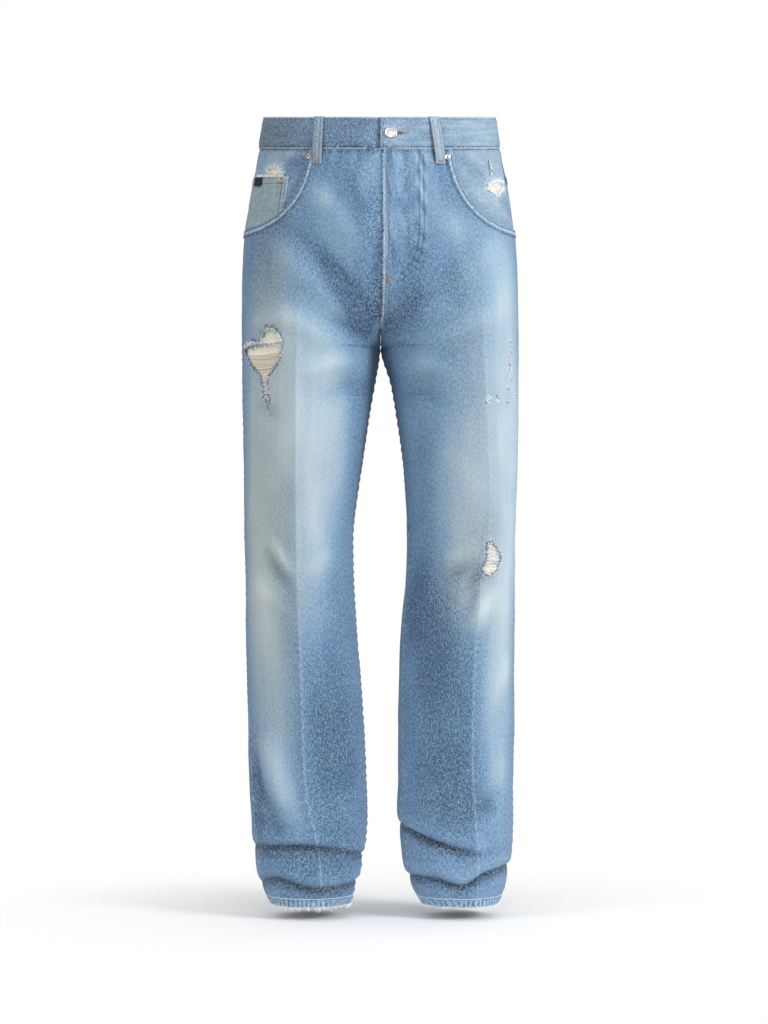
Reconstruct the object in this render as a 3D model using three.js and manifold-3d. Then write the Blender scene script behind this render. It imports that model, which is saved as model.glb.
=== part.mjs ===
// Ripped five-pocket jeans, straight in the leg, filled out as if they were worn, with no wearer.
// Units are millimetres and +Z is up. The wearer faces -Y, so the wearer's right side is at -X.
// The origin is the middle of the waist: the centre of the waistband, half way up it.
//
// The cloth's outer face is one surface. Each half of the body and each leg is a stack of
// sections, and a section is read through stations down the garment. A sewn piece is a wall
// between two offsets from that surface, so pieces that lie on each other never cross.
import * as THREE from "three";
import { mergeVertices } from "three/addons/utils/BufferGeometryUtils.js";
import Module from "manifold-3d";

const wasm = await Module();
wasm.setup();

// ---- Driving dimensions ----

const CLOTH = 1.6; // thickness of one layer of denim
const SEAM = 0.3; // gap between two sewn pieces
const LAYER = CLOTH + SEAM; // from one layer's face to the next one's
const BAND_THICK = 2.6;
const BAND_PROUD = 0.6; // how far the waistband's face stands out from the panels'
const HEM_DEPTH = 12;
const HEM_EASE = 1.2; // extra room between a leg and its turned-up hem
const WEB_THICK = 1.0; // the loose white threads left in a rip
const EDGE_STEP = 0.5; // step used to find the direction of the surface

const BAND_TOP = 21.5;
const BAND_FOOT = -21.5;
const HIP = -190;
const CROTCH = -292;
const HEM = -1039;
const WAIST_TILT = 0.13; // the waist rises towards the back by this much for each millimetre
const RISE_CURVE = 96; // height over which the centre seams turn under into the crotch
const OVAL_ENDS = -110; // below this height the body's oval starts to part into two legs

const RIGHT = -1;
const LEFT = 1;
const FRONT = -1;
const BACK = 1;

// [height, outer edge, inner edge] of each leg, outwards from the body's middle plane.
const LEG_WIDTHS = {
  [RIGHT]: [
    [BAND_TOP, 158, 0], [BAND_FOOT, 164, 0], [-90, 176, 0], [-150, 184.5, 0], [-225, 187.5, 0],
    [CROTCH, 187.5, 0.2], [-345, 187, 9], [-436, 184.5, 23], [-533, 183.5, 36], [-600, 182.5, 36.5],
    [-680, 181, 31.5], [-792, 179, 23], [-873, 177.5, 19], [-938, 173, 20], [-1010, 162, 32], [HEM, 149, 40],
  ],
  [LEFT]: [
    [BAND_TOP, 155, 0], [BAND_FOOT, 161, 0], [-90, 174, 0], [-150, 182.5, 0], [-225, 185, 0],
    [CROTCH, 186, 0.2], [-345, 186, 15], [-436, 185, 29], [-533, 182, 36], [-600, 181, 33.5],
    [-680, 180.5, 27], [-792, 180, 24], [-873, 179.5, 24], [-938, 177.5, 26], [-1010, 169.5, 39], [HEM, 160, 55],
  ],
};

// [height, front face, back face, side seam], as depths from the body's middle.
const DEPTHS = [
  [BAND_TOP, 103, 110, 2], [BAND_FOOT, 109, 117, 2], [-90, 115, 131, 4], [HIP, 118, 142, 6],
  [CROTCH, 108, 121, 4], [-430, 96, 98, 0], [-600, 71, 73, 0], [-765, 58, 70, 5], [-890, 53, 68, 8],
  [-950, 58, 66, 6], [-1000, 62, 62, 3], [HEM, 54, 54, 1],
];

// [height, how far the pressed crease lies from the middle plane, how far it stands out].
const CREASES = {
  [RIGHT]: [
    [BAND_FOOT, 86, 0], [-190, 106, 1], [-300, 109, 5], [-430, 110, 9], [-560, 110.5, 11],
    [-765, 104, 11], [-885, 99, 9], [-950, 86, 6], [-1000, 80, 4], [HEM, 78, 3],
  ],
  [LEFT]: [
    [BAND_FOOT, 92, 0], [-190, 128, 1], [-300, 137, 4], [-430, 141, 7], [-540, 142, 9],
    [-620, 130, 9], [-740, 121, 11], [-870, 121, 9], [-950, 126, 6], [-1000, 128, 4], [HEM, 128, 3],
  ],
};
const CREASE_REACH = 26; // how far a crease's ridge takes to die away

// [height, degrees that the outseam is turned to the front, the same for the inseam].
const SEAM_TURNS = {
  [RIGHT]: [[CROTCH, 0, 0], [-700, 0, 0], [-885, 24, 0], [-960, 22, 0], [HEM, 12, 0]],
  [LEFT]: [[CROTCH, 0, 0], [-430, 0, 2], [-630, 0, 19], [-900, 0, 22], [-960, 0, 26], [HEM, 0, 18]],
};

// The folds that the spare length makes over the shoe. Each is a line round the leg of
// [degrees from the front, height, how far the cloth swells over it]; inwards is positive.
const HEM_FOLDS = {
  [RIGHT]: [
    [
      [-180, -962, 3], [-90, -959, 3], [-45, -957, 7], [0, -955, 9],
      [55, -965, 6], [100, -972, 3], [150, -968, 3],
    ],
    [[-180, -1006, 3], [-95, -1010, 3], [-40, -998, 7], [8, -1011, 8], [60, -1008, 6], [120, -1004, 4]],
  ],
  [LEFT]: [
    [
      [-180, -960, 3], [-90, -962, 1], [-30, -963, 1], [-6, -960, 6],
      [14, -953, 9], [38, -944, 9], [75, -932, 5], [120, -928, 3],
    ],
    [
      [-180, -1000, 4], [-85, -985, 5], [-30, -992, 8], [-5, -1007, 8],
      [28, -998, 7], [90, -999, 5], [140, -1002, 4],
    ],
  ],
};
const FOLD_RISE = 26; // how far above its line a fold's swelling dies away
const FOLD_UNDER = 10; // how far below its line the tuck does
const FOLD_LIP = 6; // how softly the cloth turns under
const FOLD_TUCK = 0.8; // how deep the tuck is, as a share of the swelling
const FOLD_DROP = 0.35; // how far the lip sinks, as a share of the swelling

// ---- The cloth's surface ----

const smooth = (t) => {
  const k = THREE.MathUtils.clamp(t, 0, 1);
  return k * k * (3 - 2 * k);
};

// One column of a table of stations as a smooth curve through them, from the top down.
function through(stations, column) {
  const value = (i) => stations[i][column];
  const slope = (i) => {
    const a = Math.max(i - 1, 0);
    const b = Math.min(i + 1, stations.length - 1);
    return (value(b) - value(a)) / (stations[b][0] - stations[a][0]);
  };
  const falls = stations[0][0] > stations[1][0];
  return (at) => {
    const last = stations.length - 2;
    let i = stations.findIndex((s, k) => k > 0 && (falls ? at >= s[0] : at <= s[0])) - 1;
    if (i < 0) i = last;
    const span = stations[i + 1][0] - stations[i][0];
    const t = THREE.MathUtils.clamp((at - stations[i][0]) / span, 0, 1);
    const rest = 1 - t;
    return (
      value(i) * (1 + 2 * t) * rest * rest +
      slope(i) * span * t * rest * rest +
      value(i + 1) * t * t * (3 - 2 * t) -
      slope(i + 1) * span * t * t * rest
    );
  };
}

const frontDepth = through(DEPTHS, 1);
const backDepth = through(DEPTHS, 2);
const sideDepth = through(DEPTHS, 3);
const legs = {};
for (const side of [RIGHT, LEFT]) {
  legs[side] = {
    outer: through(LEG_WIDTHS[side], 1),
    inner: through(LEG_WIDTHS[side], 2),
    crease: through(CREASES[side], 1),
    ridge: through(CREASES[side], 2),
    outTurn: through(SEAM_TURNS[side], 1),
    inTurn: through(SEAM_TURNS[side], 2),
    folds: HEM_FOLDS[side].map((line) => {
      // The line is repeated a turn on at both ends, so that it closes on itself.
      const before = line.slice(-2).map(([a, h, s]) => [a - 360, h, s]);
      const after = line.slice(0, 2).map(([a, h, s]) => [a + 360, h, s]);
      const round = [...before, ...line, ...after];
      return { height: through(round, 1), swell: through(round, 2) };
    }),
  };
}

// The middle of a leg's section, from the body's middle plane.
function legMiddle(side, height) {
  const inner = height < CROTCH ? legs[side].inner(height) : 0;
  return (legs[side].outer(height) + inner) / 2;
}

// A point of one half's section: turn runs from 0 at the side to 180 at the inner edge, and is
// negative round the back. Above the crotch the oval of the body and the leg's own loop mix.
function sectionPoint(side, height, turn) {
  const outer = legs[side].outer(height);
  const middle = legMiddle(side, height);
  const angle = THREE.MathUtils.degToRad(turn);
  const face = Math.sin(angle) < 0 ? BACK : FRONT;
  const depth = face * (face === FRONT ? frontDepth(height) : backDepth(height));
  const seam = sideDepth(height);
  const across = Math.cos(angle);
  const along = Math.abs(Math.sin(angle));
  let x = middle + (outer - middle) * across;
  let y = seam + (depth - seam) * along;
  if (height > CROTCH) {
    const risen = THREE.MathUtils.clamp((height - CROTCH) / RISE_CURVE, 0, 1);
    if (across < 0) {
      const centre = seam + (depth * 0.985 - seam) * Math.sqrt(1 - (1 - risen) ** 2);
      const cleft = (1 - risen) ** 2;
      const fall = cleft * (1 - along) + (1 - cleft) * smooth(-across);
      y = depth + (centre - depth) * fall;
    }
    const quarter = angle / 2;
    const legShare = smooth((OVAL_ENDS - height) / (OVAL_ENDS - CROTCH));
    x = x * legShare + outer * Math.cos(quarter) * (1 - legShare);
    y = y * legShare + (seam + (depth - seam) * Math.abs(Math.sin(quarter))) * (1 - legShare);
  }
  return new THREE.Vector2(x, y);
}

const SAMPLES = 72;
const sectionCache = new Map();

// One panel's section as a line from the outseam to its inner edge, with its lengths.
function panelSection(side, face, height) {
  const key = `${side} ${face} ${height.toFixed(3)}`;
  if (!sectionCache.has(key)) {
    const start = height < CROTCH ? legs[side].outTurn(height) : 0;
    const inTurn = height < CROTCH ? legs[side].inTurn(height) : 0;
    const end = face === FRONT ? 180 - inTurn : -180 - inTurn;
    const points = [];
    for (let i = 0; i <= SAMPLES; i++)
      points.push(sectionPoint(side, height, start + ((end - start) * i) / SAMPLES));
    const lengths = [0];
    for (let i = 1; i <= SAMPLES; i++)
      lengths.push(lengths[i - 1] + points[i].distanceTo(points[i - 1]));
    const goal = face === FRONT ? legs[side].crease(height) : legMiddle(side, height);
    let at = points.findIndex((p) => p.x <= goal);
    if (at < 1) at = 1;
    const part = (points[at - 1].x - goal) / (points[at - 1].x - points[at].x);
    const crease = lengths[at - 1] + (lengths[at] - lengths[at - 1]) * part;
    sectionCache.set(key, { points, lengths, crease });
  }
  return sectionCache.get(key);
}

// The point of a section a given length from the outseam.
function alongSection(section, length) {
  const { points, lengths } = section;
  let i = lengths.findIndex((l) => l > length) - 1;
  if (i < 0) i = length > 0 ? SAMPLES - 1 : 0;
  const part = (length - lengths[i]) / (lengths[i + 1] - lengths[i]);
  return points[i].clone().lerp(points[i + 1], part);
}

// The length from the outseam of a share: 0 is the outseam, 1 the crease and 2 the inner edge.
function lengthAt(section, share) {
  const total = section.lengths[SAMPLES];
  if (share <= 1) return section.crease * share;
  return section.crease + (total - section.crease) * (share - 1);
}

// The cloth's outer face. Its share is as in lengthAt.
function cloth(side, face, height, share) {
  const section = panelSection(side, face, height);
  const leg = legs[side];
  const length = lengthAt(section, share);
  const flat = alongSection(section, length);
  const middle = legMiddle(side, height);
  const out = new THREE.Vector2(flat.x - middle, flat.y - sideDepth(height));
  const round = THREE.MathUtils.radToDeg(Math.atan2(-out.x, -out.y));
  out.normalize();
  let swell = leg.ridge(height) * Math.exp(-Math.abs(length - section.crease) / CREASE_REACH);
  let drop = 0;
  for (const fold of leg.folds) {
    const above = height - fold.height(round);
    const size = fold.swell(round);
    if (above > 0) {
      const lip = Math.exp(-above / FOLD_LIP);
      swell += size * (Math.exp(-above / FOLD_RISE) - lip) - size * FOLD_TUCK * lip;
      drop -= size * FOLD_DROP * Math.exp(-(((above - 6) / 8) ** 2));
    } else {
      swell -= size * FOLD_TUCK * Math.exp(above / FOLD_UNDER);
      drop -= size * FOLD_DROP * Math.exp(-(36 / 64)) * Math.exp(above / FOLD_UNDER);
    }
  }
  const x = side * (flat.x + out.x * swell);
  const y = flat.y + out.y * swell;
  const tilt = WAIST_TILT * smooth((height - HIP) / (BAND_FOOT - HIP));
  return new THREE.Vector3(x, y, height + drop + tilt * y);
}

// The direction that the cloth faces.
function facing(side, face, height, share) {
  const step = 0.02;
  const a = cloth(side, face, height, Math.max(share - step, 0));
  const b = cloth(side, face, height, Math.min(share + step, 2));
  const low = cloth(side, face, height - EDGE_STEP, share);
  const high = cloth(side, face, height + EDGE_STEP, share);
  const normal = b.sub(a).cross(high.sub(low));
  normal.multiplyScalar(side * face);
  if (share > 1.98 && height > CROTCH) normal.x = 0; // the halves meet at the middle plane
  return normal.normalize();
}

// A point a given distance out from the cloth's outer face, or in from it if negative.
function offCloth(side, face, height, share, out) {
  const point = cloth(side, face, height, share);
  return point.addScaledVector(facing(side, face, height, share), out);
}

// The share at which a panel is a given distance from the body's middle plane.
function shareAt(side, face, height, distance) {
  let low = 0;
  let high = 2;
  for (let i = 0; i < 30; i++) {
    const mid = (low + high) / 2;
    if (Math.abs(cloth(side, face, height, mid).x) > distance) low = mid;
    else high = mid;
  }
  return (low + high) / 2;
}

// ---- Making solids ----

const stops = (from, to, count) =>
  Array.from({ length: count + 1 }, (_, i) => from + ((to - from) * i) / count);

// A wall on a grid: place(column, row, outer) gives the point of a column and row stop, on the
// outer face or the inner one. Both faces are split along the same diagonals, so that layers
// made from the same stops stay parallel.
function wall(columns, rows, place) {
  const [wide, high] = [columns.length, rows.length];
  const points = [];
  for (const outer of [true, false])
    for (const row of rows)
      columns.forEach((column, i) => points.push(place(column, row, outer, i)));
  const at = (column, row, outer) => (outer ? 0 : wide * high) + row * wide + column;
  const index = [];
  const quad = (a, b, c, d) => index.push(a, b, c, a, c, d);
  for (let j = 0; j < high - 1; j++)
    for (let i = 0; i < wide - 1; i++) {
      quad(at(i, j, true), at(i + 1, j, true), at(i + 1, j + 1, true), at(i, j + 1, true));
      quad(at(i, j), at(i, j + 1), at(i + 1, j + 1), at(i + 1, j));
    }
  for (let j = 0; j < high - 1; j++) {
    quad(at(0, j), at(0, j, true), at(0, j + 1, true), at(0, j + 1));
    quad(at(wide - 1, j, true), at(wide - 1, j), at(wide - 1, j + 1), at(wide - 1, j + 1, true));
  }
  for (let i = 0; i < wide - 1; i++) {
    quad(at(i, 0), at(i + 1, 0), at(i + 1, 0, true), at(i, 0, true));
    quad(at(i, high - 1, true), at(i + 1, high - 1, true), at(i + 1, high - 1), at(i, high - 1));
  }
  const geometry = new THREE.BufferGeometry().setFromPoints(points);
  geometry.setIndex(index);
  return facingOut(geometry);
}

function facingOut(geometry) {
  const position = geometry.getAttribute("position");
  const index = geometry.index.array;
  const [a, b, c] = [0, 1, 2].map(() => new THREE.Vector3());
  let volume = 0;
  for (let i = 0; i < index.length; i += 3) {
    [a, b, c].forEach((v, k) => v.fromBufferAttribute(position, index[i + k]));
    volume += a.dot(b.cross(c));
  }
  if (volume < 0)
    for (let i = 0; i < index.length; i += 3)
      [index[i + 1], index[i + 2]] = [index[i + 2], index[i + 1]];
  geometry.computeVertexNormals();
  return geometry;
}

function toSolid(geometry) {
  const bare = geometry.clone();
  bare.deleteAttribute("normal");
  bare.deleteAttribute("uv");
  const merged = mergeVertices(bare, 1e-3);
  return new wasm.Manifold(
    new wasm.Mesh({
      numProp: 3,
      vertProperties: merged.attributes.position.array,
      triVerts: new Uint32Array(merged.index.array),
    }),
  );
}

function toGeometry(solid) {
  const { vertProperties, triVerts } = solid.getMesh();
  const geometry = new THREE.BufferGeometry();
  geometry.setAttribute("position", new THREE.BufferAttribute(vertProperties, 3));
  geometry.setIndex(new THREE.BufferAttribute(triVerts, 1));
  geometry.computeVertexNormals();
  return geometry;
}

const cut = (geometry, ...tools) =>
  toGeometry(tools.reduce((made, tool) => made.subtract(toSolid(tool)), toSolid(geometry)));
const within = (geometry, tool) => toGeometry(toSolid(geometry).intersect(toSolid(tool)));

// A cutting tool: an outline of the front view, run backwards from the front to a depth.
function cutter(shape, depth = 0, reach = 300) {
  const geometry = new THREE.ExtrudeGeometry(shape, {
    depth: reach,
    bevelEnabled: false,
    curveSegments: 10,
  });
  geometry.rotateX(Math.PI / 2);
  geometry.translate(0, depth, 0);
  return toIndexed(geometry);
}

function toIndexed(geometry) {
  geometry.deleteAttribute("normal");
  geometry.deleteAttribute("uv");
  return mergeVertices(geometry, 1e-3);
}

const denim = new THREE.MeshStandardMaterial({ color: 0x7f9fc0, roughness: 0.9 });
const paleDenim = new THREE.MeshStandardMaterial({ color: 0xa9bccb, roughness: 0.92 });
const cotton = new THREE.MeshStandardMaterial({ color: 0xe6e1d8, roughness: 0.95 });
const steel = new THREE.MeshStandardMaterial({ color: 0xc9c4c1, roughness: 0.25, metalness: 1 });
const blackTape = new THREE.MeshStandardMaterial({ color: 0x1b1d22, roughness: 0.7 });

const jeans = new THREE.Group();

function add(name, geometry, material) {
  const mesh = new THREE.Mesh(geometry, material);
  mesh.name = name;
  jeans.add(mesh);
}

const sideName = { [RIGHT]: "right", [LEFT]: "left" };

// ---- Legs: front and back panels and yokes ----

const PANEL_COLUMNS = [0, 0.2, 0.4, 0.6, 0.8, 1, 1.2, 1.4, 1.6, 1.8, 2];
const BODY_ROWS = [-100, -145, -185, -217, -243, -263, -278, -287, CROTCH + 0.6];
const LEG_ROWS = [CROTCH - 0.6, -318, -360, -430, -530, -630, -730, -820, -885, -925];
const FOLD_ROWS = [-950, -957, -964, -972, -984, -993, -999, -1005, -1015, HEM + HEM_DEPTH, HEM];

// Edge shares that leave half a seam's gap at the outseam and at the inner edge.
function seamedShare(side, face, height, share) {
  const section = panelSection(side, face, height);
  const total = section.lengths[SAMPLES];
  const half = SEAM / 2;
  if (share === 0) return half / section.crease;
  if (share === 2) return 2 - half / (total - section.crease);
  return share;
}

function panel(side, face, rows) {
  return wall(PANEL_COLUMNS, rows, (share, height, outer, column) => {
    const h = typeof height === "function" ? height(share) : height;
    const at = seamedShare(side, face, h, share);
    const point = offCloth(side, face, h, at, outer ? 0 : -CLOTH);
    if (column === PANEL_COLUMNS.length - 1 && h > CROTCH) point.x = (side * SEAM) / 2;
    return point;
  });
}

// The scooped mouth of a front pocket, seen from the front.
const MOUTH = { start: [95, -28], bendIn: [104, -90], bendOut: [137, -133], end: [192, -132] };

function mouthShape(side, shrink = 0) {
  const { start, bendIn, bendOut, end } = MOUTH;
  const shape = new THREE.Shape();
  const x = (v) => side * (v + shrink);
  const z = (v) => v + shrink;
  shape.moveTo(x(start[0]), z(start[1]));
  shape.bezierCurveTo(x(bendIn[0]), z(bendIn[1]), x(bendOut[0]), z(bendOut[1]), x(end[0]), z(end[1]));
  shape.lineTo(x(260), z(end[1]));
  shape.lineTo(x(260), 60);
  shape.lineTo(x(start[0] - 4), 60);
  return shape;
}

const polygon = (points) => new THREE.Shape(points.map(([x, z]) => new THREE.Vector2(x, z)));

const THIGH_RIP = [
  [-150, -264], [-141, -267], [-133, -275], [-129, -288], [-129, -302], [-134, -314],
  [-142, -326], [-147, -337], [-146, -352], [-148, -366], [-153, -360], [-158, -344],
  [-162, -330], [-170, -322], [-178, -309], [-182, -296], [-182, -283], [-174, -279],
  [-164, -281], [-157, -277], [-154, -269],
];
const KNEE_RIP = [
  [141, -549], [148, -554], [155, -561], [158.5, -572], [157, -584], [151, -592],
  [143, -595], [134, -589], [131, -584], [136, -575], [137, -563], [138, -553],
];
const LEFT_POCKET_RIP = [
  [148, -76], [154, -72], [160, -70], [167, -74], [167, -82], [161, -90], [156, -85], [150, -81],
];
const RIGHT_POCKET_RIP = [[-150, -57], [-143, -51], [-135, -52], [-130, -58], [-136, -63], [-145, -63]];

const frontRows = [BAND_FOOT - SEAM, -60, ...BODY_ROWS, ...LEG_ROWS, ...FOLD_ROWS].reverse();
const frontCuts = { [RIGHT]: THIGH_RIP, [LEFT]: KNEE_RIP };
for (const side of [RIGHT, LEFT])
  add(
    `front_${sideName[side]}`,
    cut(panel(side, FRONT, frontRows), cutter(mouthShape(side)), cutter(polygon(frontCuts[side]))),
    denim,
  );

// The yoke seam falls from the side to a point at the middle of the back.
const YOKE_SIDE = -66;
const YOKE_MIDDLE = -92;
const yokeSeam = (share) => YOKE_SIDE + ((YOKE_MIDDLE - YOKE_SIDE) * share) / 2;
const backTop = (share) => yokeSeam(share) - SEAM;
const backRows = [backTop, ...BODY_ROWS, ...LEG_ROWS, ...FOLD_ROWS].reverse();
for (const side of [RIGHT, LEFT]) {
  add(`back_${sideName[side]}`, panel(side, BACK, backRows), denim);
  add(`yoke_${sideName[side]}`, panel(side, BACK, [yokeSeam, -45, BAND_FOOT - SEAM]), denim);
}

// ---- Hems: the turned-up layer inside each leg's foot ----

const hemShares = PANEL_COLUMNS.filter((_, i) => i % 2 === 0);
const HEM_COLUMNS = [
  ...hemShares.map((share) => [FRONT, share]).reverse(),
  ...hemShares.slice(1).map((share) => [BACK, share]),
];

// A point on the level of a leg's section, a given distance in towards the leg's middle.
function insideLeg(side, face, height, share, depth) {
  const point = cloth(side, face, height, share);
  const inwards = new THREE.Vector3(side * legMiddle(side, height), sideDepth(height), point.z);
  inwards.sub(point).normalize();
  return point.addScaledVector(inwards, depth);
}

for (const side of [RIGHT, LEFT]) {
  const hem = wall(HEM_COLUMNS, [HEM, HEM + HEM_DEPTH], ([face, share], height, outer, column) => {
    const end = column === 0 || column === HEM_COLUMNS.length - 1;
    const at = end ? seamedShare(side, face, height, share) : share;
    const depth = LAYER + HEM_EASE;
    return insideLeg(side, face, height, at, outer ? depth : depth + CLOTH);
  });
  add(`hem_${sideName[side]}`, hem, denim);
}

// ---- Waistband: one strip, lapped and buttoned at the front ----

const LAP = 34; // how far the right end runs on under the left one
const LAP_GAP = 1.0; // between the lapped ends, so that the buttonhole goes through one of them
const LAP_EASE = 26; // length over which the under end moves in
const BUTTON = { x: 13.8, radius: 8.5, neck: 3 };
const NECK_ROOM = 1.3; // round the neck, where it passes through the band
const BUTTONHOLE = { from: 8, to: 30, height: 4.4 };

// The waist's loop from the middle of the front round the left side, the back and the right
// side: the panel, its face and the share at a length along the loop.
const waistRun = [[LEFT, FRONT, 2, 0], [LEFT, BACK, 0, 2], [RIGHT, BACK, 2, 0], [RIGHT, FRONT, 0, 2]];
const runLength = (side, face) => panelSection(side, face, 0).lengths[SAMPLES];
const waistLength = waistRun.reduce((sum, [side, face]) => sum + runLength(side, face), 0);

function onWaist(length, height, out) {
  let left = THREE.MathUtils.euclideanModulo(length, waistLength);
  for (const [side, face, from] of waistRun) {
    const section = panelSection(side, face, height);
    const total = section.lengths[SAMPLES];
    const run = runLength(side, face);
    if (left <= run) {
      const scaled = (left / run) * total;
      const seamward = from === 2 ? total - scaled : scaled;
      const share =
        seamward <= section.crease
          ? seamward / section.crease
          : 1 + (seamward - section.crease) / (total - section.crease);
      return offCloth(side, face, height, share, out);
    }
    left -= run;
  }
}

const bandColumns = [
  ...stops(0, waistLength - LAP_EASE, 38),
  ...stops(waistLength - LAP_EASE, waistLength + LAP, 8).slice(1),
];
const band = wall(bandColumns, [BAND_FOOT, 0, BAND_TOP], (length, height, outer) => {
  const lapped = smooth((length - waistLength + LAP_EASE) / (LAP_EASE - 3));
  const face = BAND_PROUD - lapped * (BAND_THICK + LAP_GAP);
  return onWaist(length, height, outer ? face : face - BAND_THICK);
});
const behindButton = onWaist(BUTTON.x, 0, 0); // on the panels' face, under the button

const slotShape = new THREE.Shape();
const slotRadius = BUTTONHOLE.height / 2;
const slotEnds = [BUTTONHOLE.from + slotRadius, BUTTONHOLE.to - slotRadius];
slotShape.absarc(slotEnds[0], behindButton.z, slotRadius, Math.PI / 2, (3 * Math.PI) / 2);
slotShape.absarc(slotEnds[1], behindButton.z, slotRadius, -Math.PI / 2, Math.PI / 2);
const lapMiddle = behindButton.y - BAND_PROUD + BAND_THICK + LAP_GAP / 2;
const neckShape = new THREE.Shape();
neckShape.absarc(BUTTON.x, behindButton.z, BUTTON.neck + NECK_ROOM, 0, 2 * Math.PI);
const holes = [cutter(slotShape, lapMiddle, 20), cutter(neckShape, behindButton.y + 20, 40)];
add("waistband", cut(band, ...holes), paleDenim);

// The button's profile, as [radius, distance out from the panels' face]: a stud behind both
// ends of the band, a neck through them and a dished cap in front.
const studFace = BAND_PROUD - 2 * BAND_THICK - LAP_GAP;
const capFoot = BAND_PROUD + 0.7;
const buttonProfile = [
  [0, studFace - 2.4], [5, studFace - 2], [5, studFace - 0.7], [BUTTON.neck, studFace - 0.7],
  [BUTTON.neck, capFoot], [BUTTON.radius - 0.8, capFoot], [BUTTON.radius, capFoot + 0.9],
  [BUTTON.radius - 0.4, capFoot + 2.1], [BUTTON.radius - 1.6, capFoot + 2.7],
  [BUTTON.radius - 2.6, capFoot + 2.3], [0, capFoot + 2.8],
];

// A turned piece standing on the cloth: its axis is the way the cloth faces at that point.
function turned(profile, segments, point, normal) {
  const geometry = new THREE.LatheGeometry(
    profile.map(([r, out]) => new THREE.Vector2(r, out)),
    segments,
  );
  const lean = new THREE.Quaternion().setFromUnitVectors(new THREE.Vector3(0, 1, 0), normal);
  geometry.applyQuaternion(lean);
  geometry.translate(point.x, point.y, point.z);
  return geometry;
}
const buttonWay = onWaist(BUTTON.x, 0, 1).sub(behindButton);
add("button", turned(buttonProfile, 24, behindButton, buttonWay), steel);

// ---- Layers: pieces made from a panel's own points, moved off its face ----

// A wall over some of a panel's columns and rows, between two distances from its face.
function layer(side, face, columns, rows, out, inside) {
  return wall(columns, rows, (share, height, outer) => {
    const at = seamedShare(side, face, height, share);
    return offCloth(side, face, height, at, outer ? out : inside);
  });
}

const box = (x0, x1, z0, z1) => polygon([[x0, z0], [x1, z0], [x1, z1], [x0, z1]]);
const rowsBetween = (top, foot) => frontRows.filter((h) => h <= top && h >= foot);

// ---- Fly shield: the strip behind the front opening ----

const SHIELD = { right: 6, left: 38, foot: -182 };
const shieldColumns = [[RIGHT, 1.8], [LEFT, 2], [LEFT, 1.8], [LEFT, 1.6], [LEFT, 1.4]];
const shield = wall(shieldColumns, rowsBetween(0, HIP), ([side, share], height, outer) =>
  offCloth(side, FRONT, height, share, outer ? -LAYER : -LAYER - CLOTH),
);
add(
  "fly_shield",
  within(shield, cutter(box(-SHIELD.right, SHIELD.left, SHIELD.foot, 60))),
  paleDenim,
);

// ---- Front pockets: facings, coin pocket and its tab ----

const FACING_FOOT = -160;
const FACING_INNER = 84;
const facingRips = { [RIGHT]: RIGHT_POCKET_RIP, [LEFT]: LEFT_POCKET_RIP };
const sideColumns = PANEL_COLUMNS.filter((share) => share <= 1.2);
for (const side of [RIGHT, LEFT]) {
  const plain = layer(side, FRONT, sideColumns, rowsBetween(0, HIP), -LAYER, -LAYER - CLOTH);
  const shaped = within(plain, cutter(box(side * FACING_INNER, side * 260, FACING_FOOT, 60)));
  add(`pocket_facing_${sideName[side]}`, cut(shaped, cutter(polygon(facingRips[side]))), paleDenim);
}

const COIN = { inner: 127, outer: 168, top: -58, foot: -150 };
const coin = layer(RIGHT, FRONT, sideColumns, rowsBetween(0, HIP), 0, -CLOTH);
const coinShape = box(-COIN.outer, -COIN.inner, COIN.foot, COIN.top);
add("coin_pocket", within(within(coin, cutter(coinShape)), cutter(mouthShape(RIGHT, 0.6))), paleDenim);

const TAB = { inner: 156.5, outer: 166, top: -62, foot: -73 };
const tab = layer(RIGHT, FRONT, sideColumns, rowsBetween(0, HIP), SEAM + 0.7, SEAM);
add("coin_pocket_tab", within(tab, cutter(box(-TAB.outer, -TAB.inner, TAB.foot, TAB.top))), blackTape);

// ---- Rips: the loose white threads behind each hole ----

const WEB_MARGIN = 6;
function web(name, side, outline, depth) {
  const xs = outline.map(([x]) => x);
  const zs = outline.map(([, z]) => z);
  const [x0, x1] = [Math.min(...xs) - WEB_MARGIN, Math.max(...xs) + WEB_MARGIN];
  const [z0, z1] = [Math.min(...zs) - WEB_MARGIN, Math.max(...zs) + WEB_MARGIN];
  const rows = frontRows.filter(
    (h, i) => (frontRows[i + 1] ?? 0) >= z0 - 30 && (frontRows[i - 1] ?? h) <= z1 + 40,
  );
  const plain = layer(side, FRONT, PANEL_COLUMNS, rows, -depth, -depth - WEB_THICK);
  add(name, within(plain, cutter(box(x0, x1, z0, z1))), cotton);
}
web("thigh_rip_threads", RIGHT, THIGH_RIP, LAYER);
web("knee_rip_threads", LEFT, KNEE_RIP, LAYER);
web("pocket_rip_threads_right", RIGHT, RIGHT_POCKET_RIP, 2 * LAYER);
web("pocket_rip_threads_left", LEFT, LEFT_POCKET_RIP, 2 * LAYER);

// ---- Back pockets ----

const PATCH = { inner: 34, outer: 148, top: -120, foot: -254, point: -280, taper: 9 };
for (const side of [RIGHT, LEFT]) {
  const middle = (PATCH.inner + PATCH.outer) / 2;
  const outline = polygon([
    [side * PATCH.inner, PATCH.top],
    [side * PATCH.outer, PATCH.top],
    [side * (PATCH.outer - PATCH.taper), PATCH.foot],
    [side * middle, PATCH.point],
    [side * (PATCH.inner + PATCH.taper), PATCH.foot],
  ]);
  const rows = backRows.filter((h) => h <= -100 && h > CROTCH);
  const plain = layer(side, BACK, PANEL_COLUMNS, rows, LAYER, SEAM);
  add(`back_pocket_${sideName[side]}`, within(plain, cutter(outline, 300)), denim);
}

// ---- Belt loops: a strap stitched down at both ends ----

const LOOP = { width: 13, thick: 1.6, top: BAND_TOP - 0.5, foot: -41, gap: 3.2 };
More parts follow.
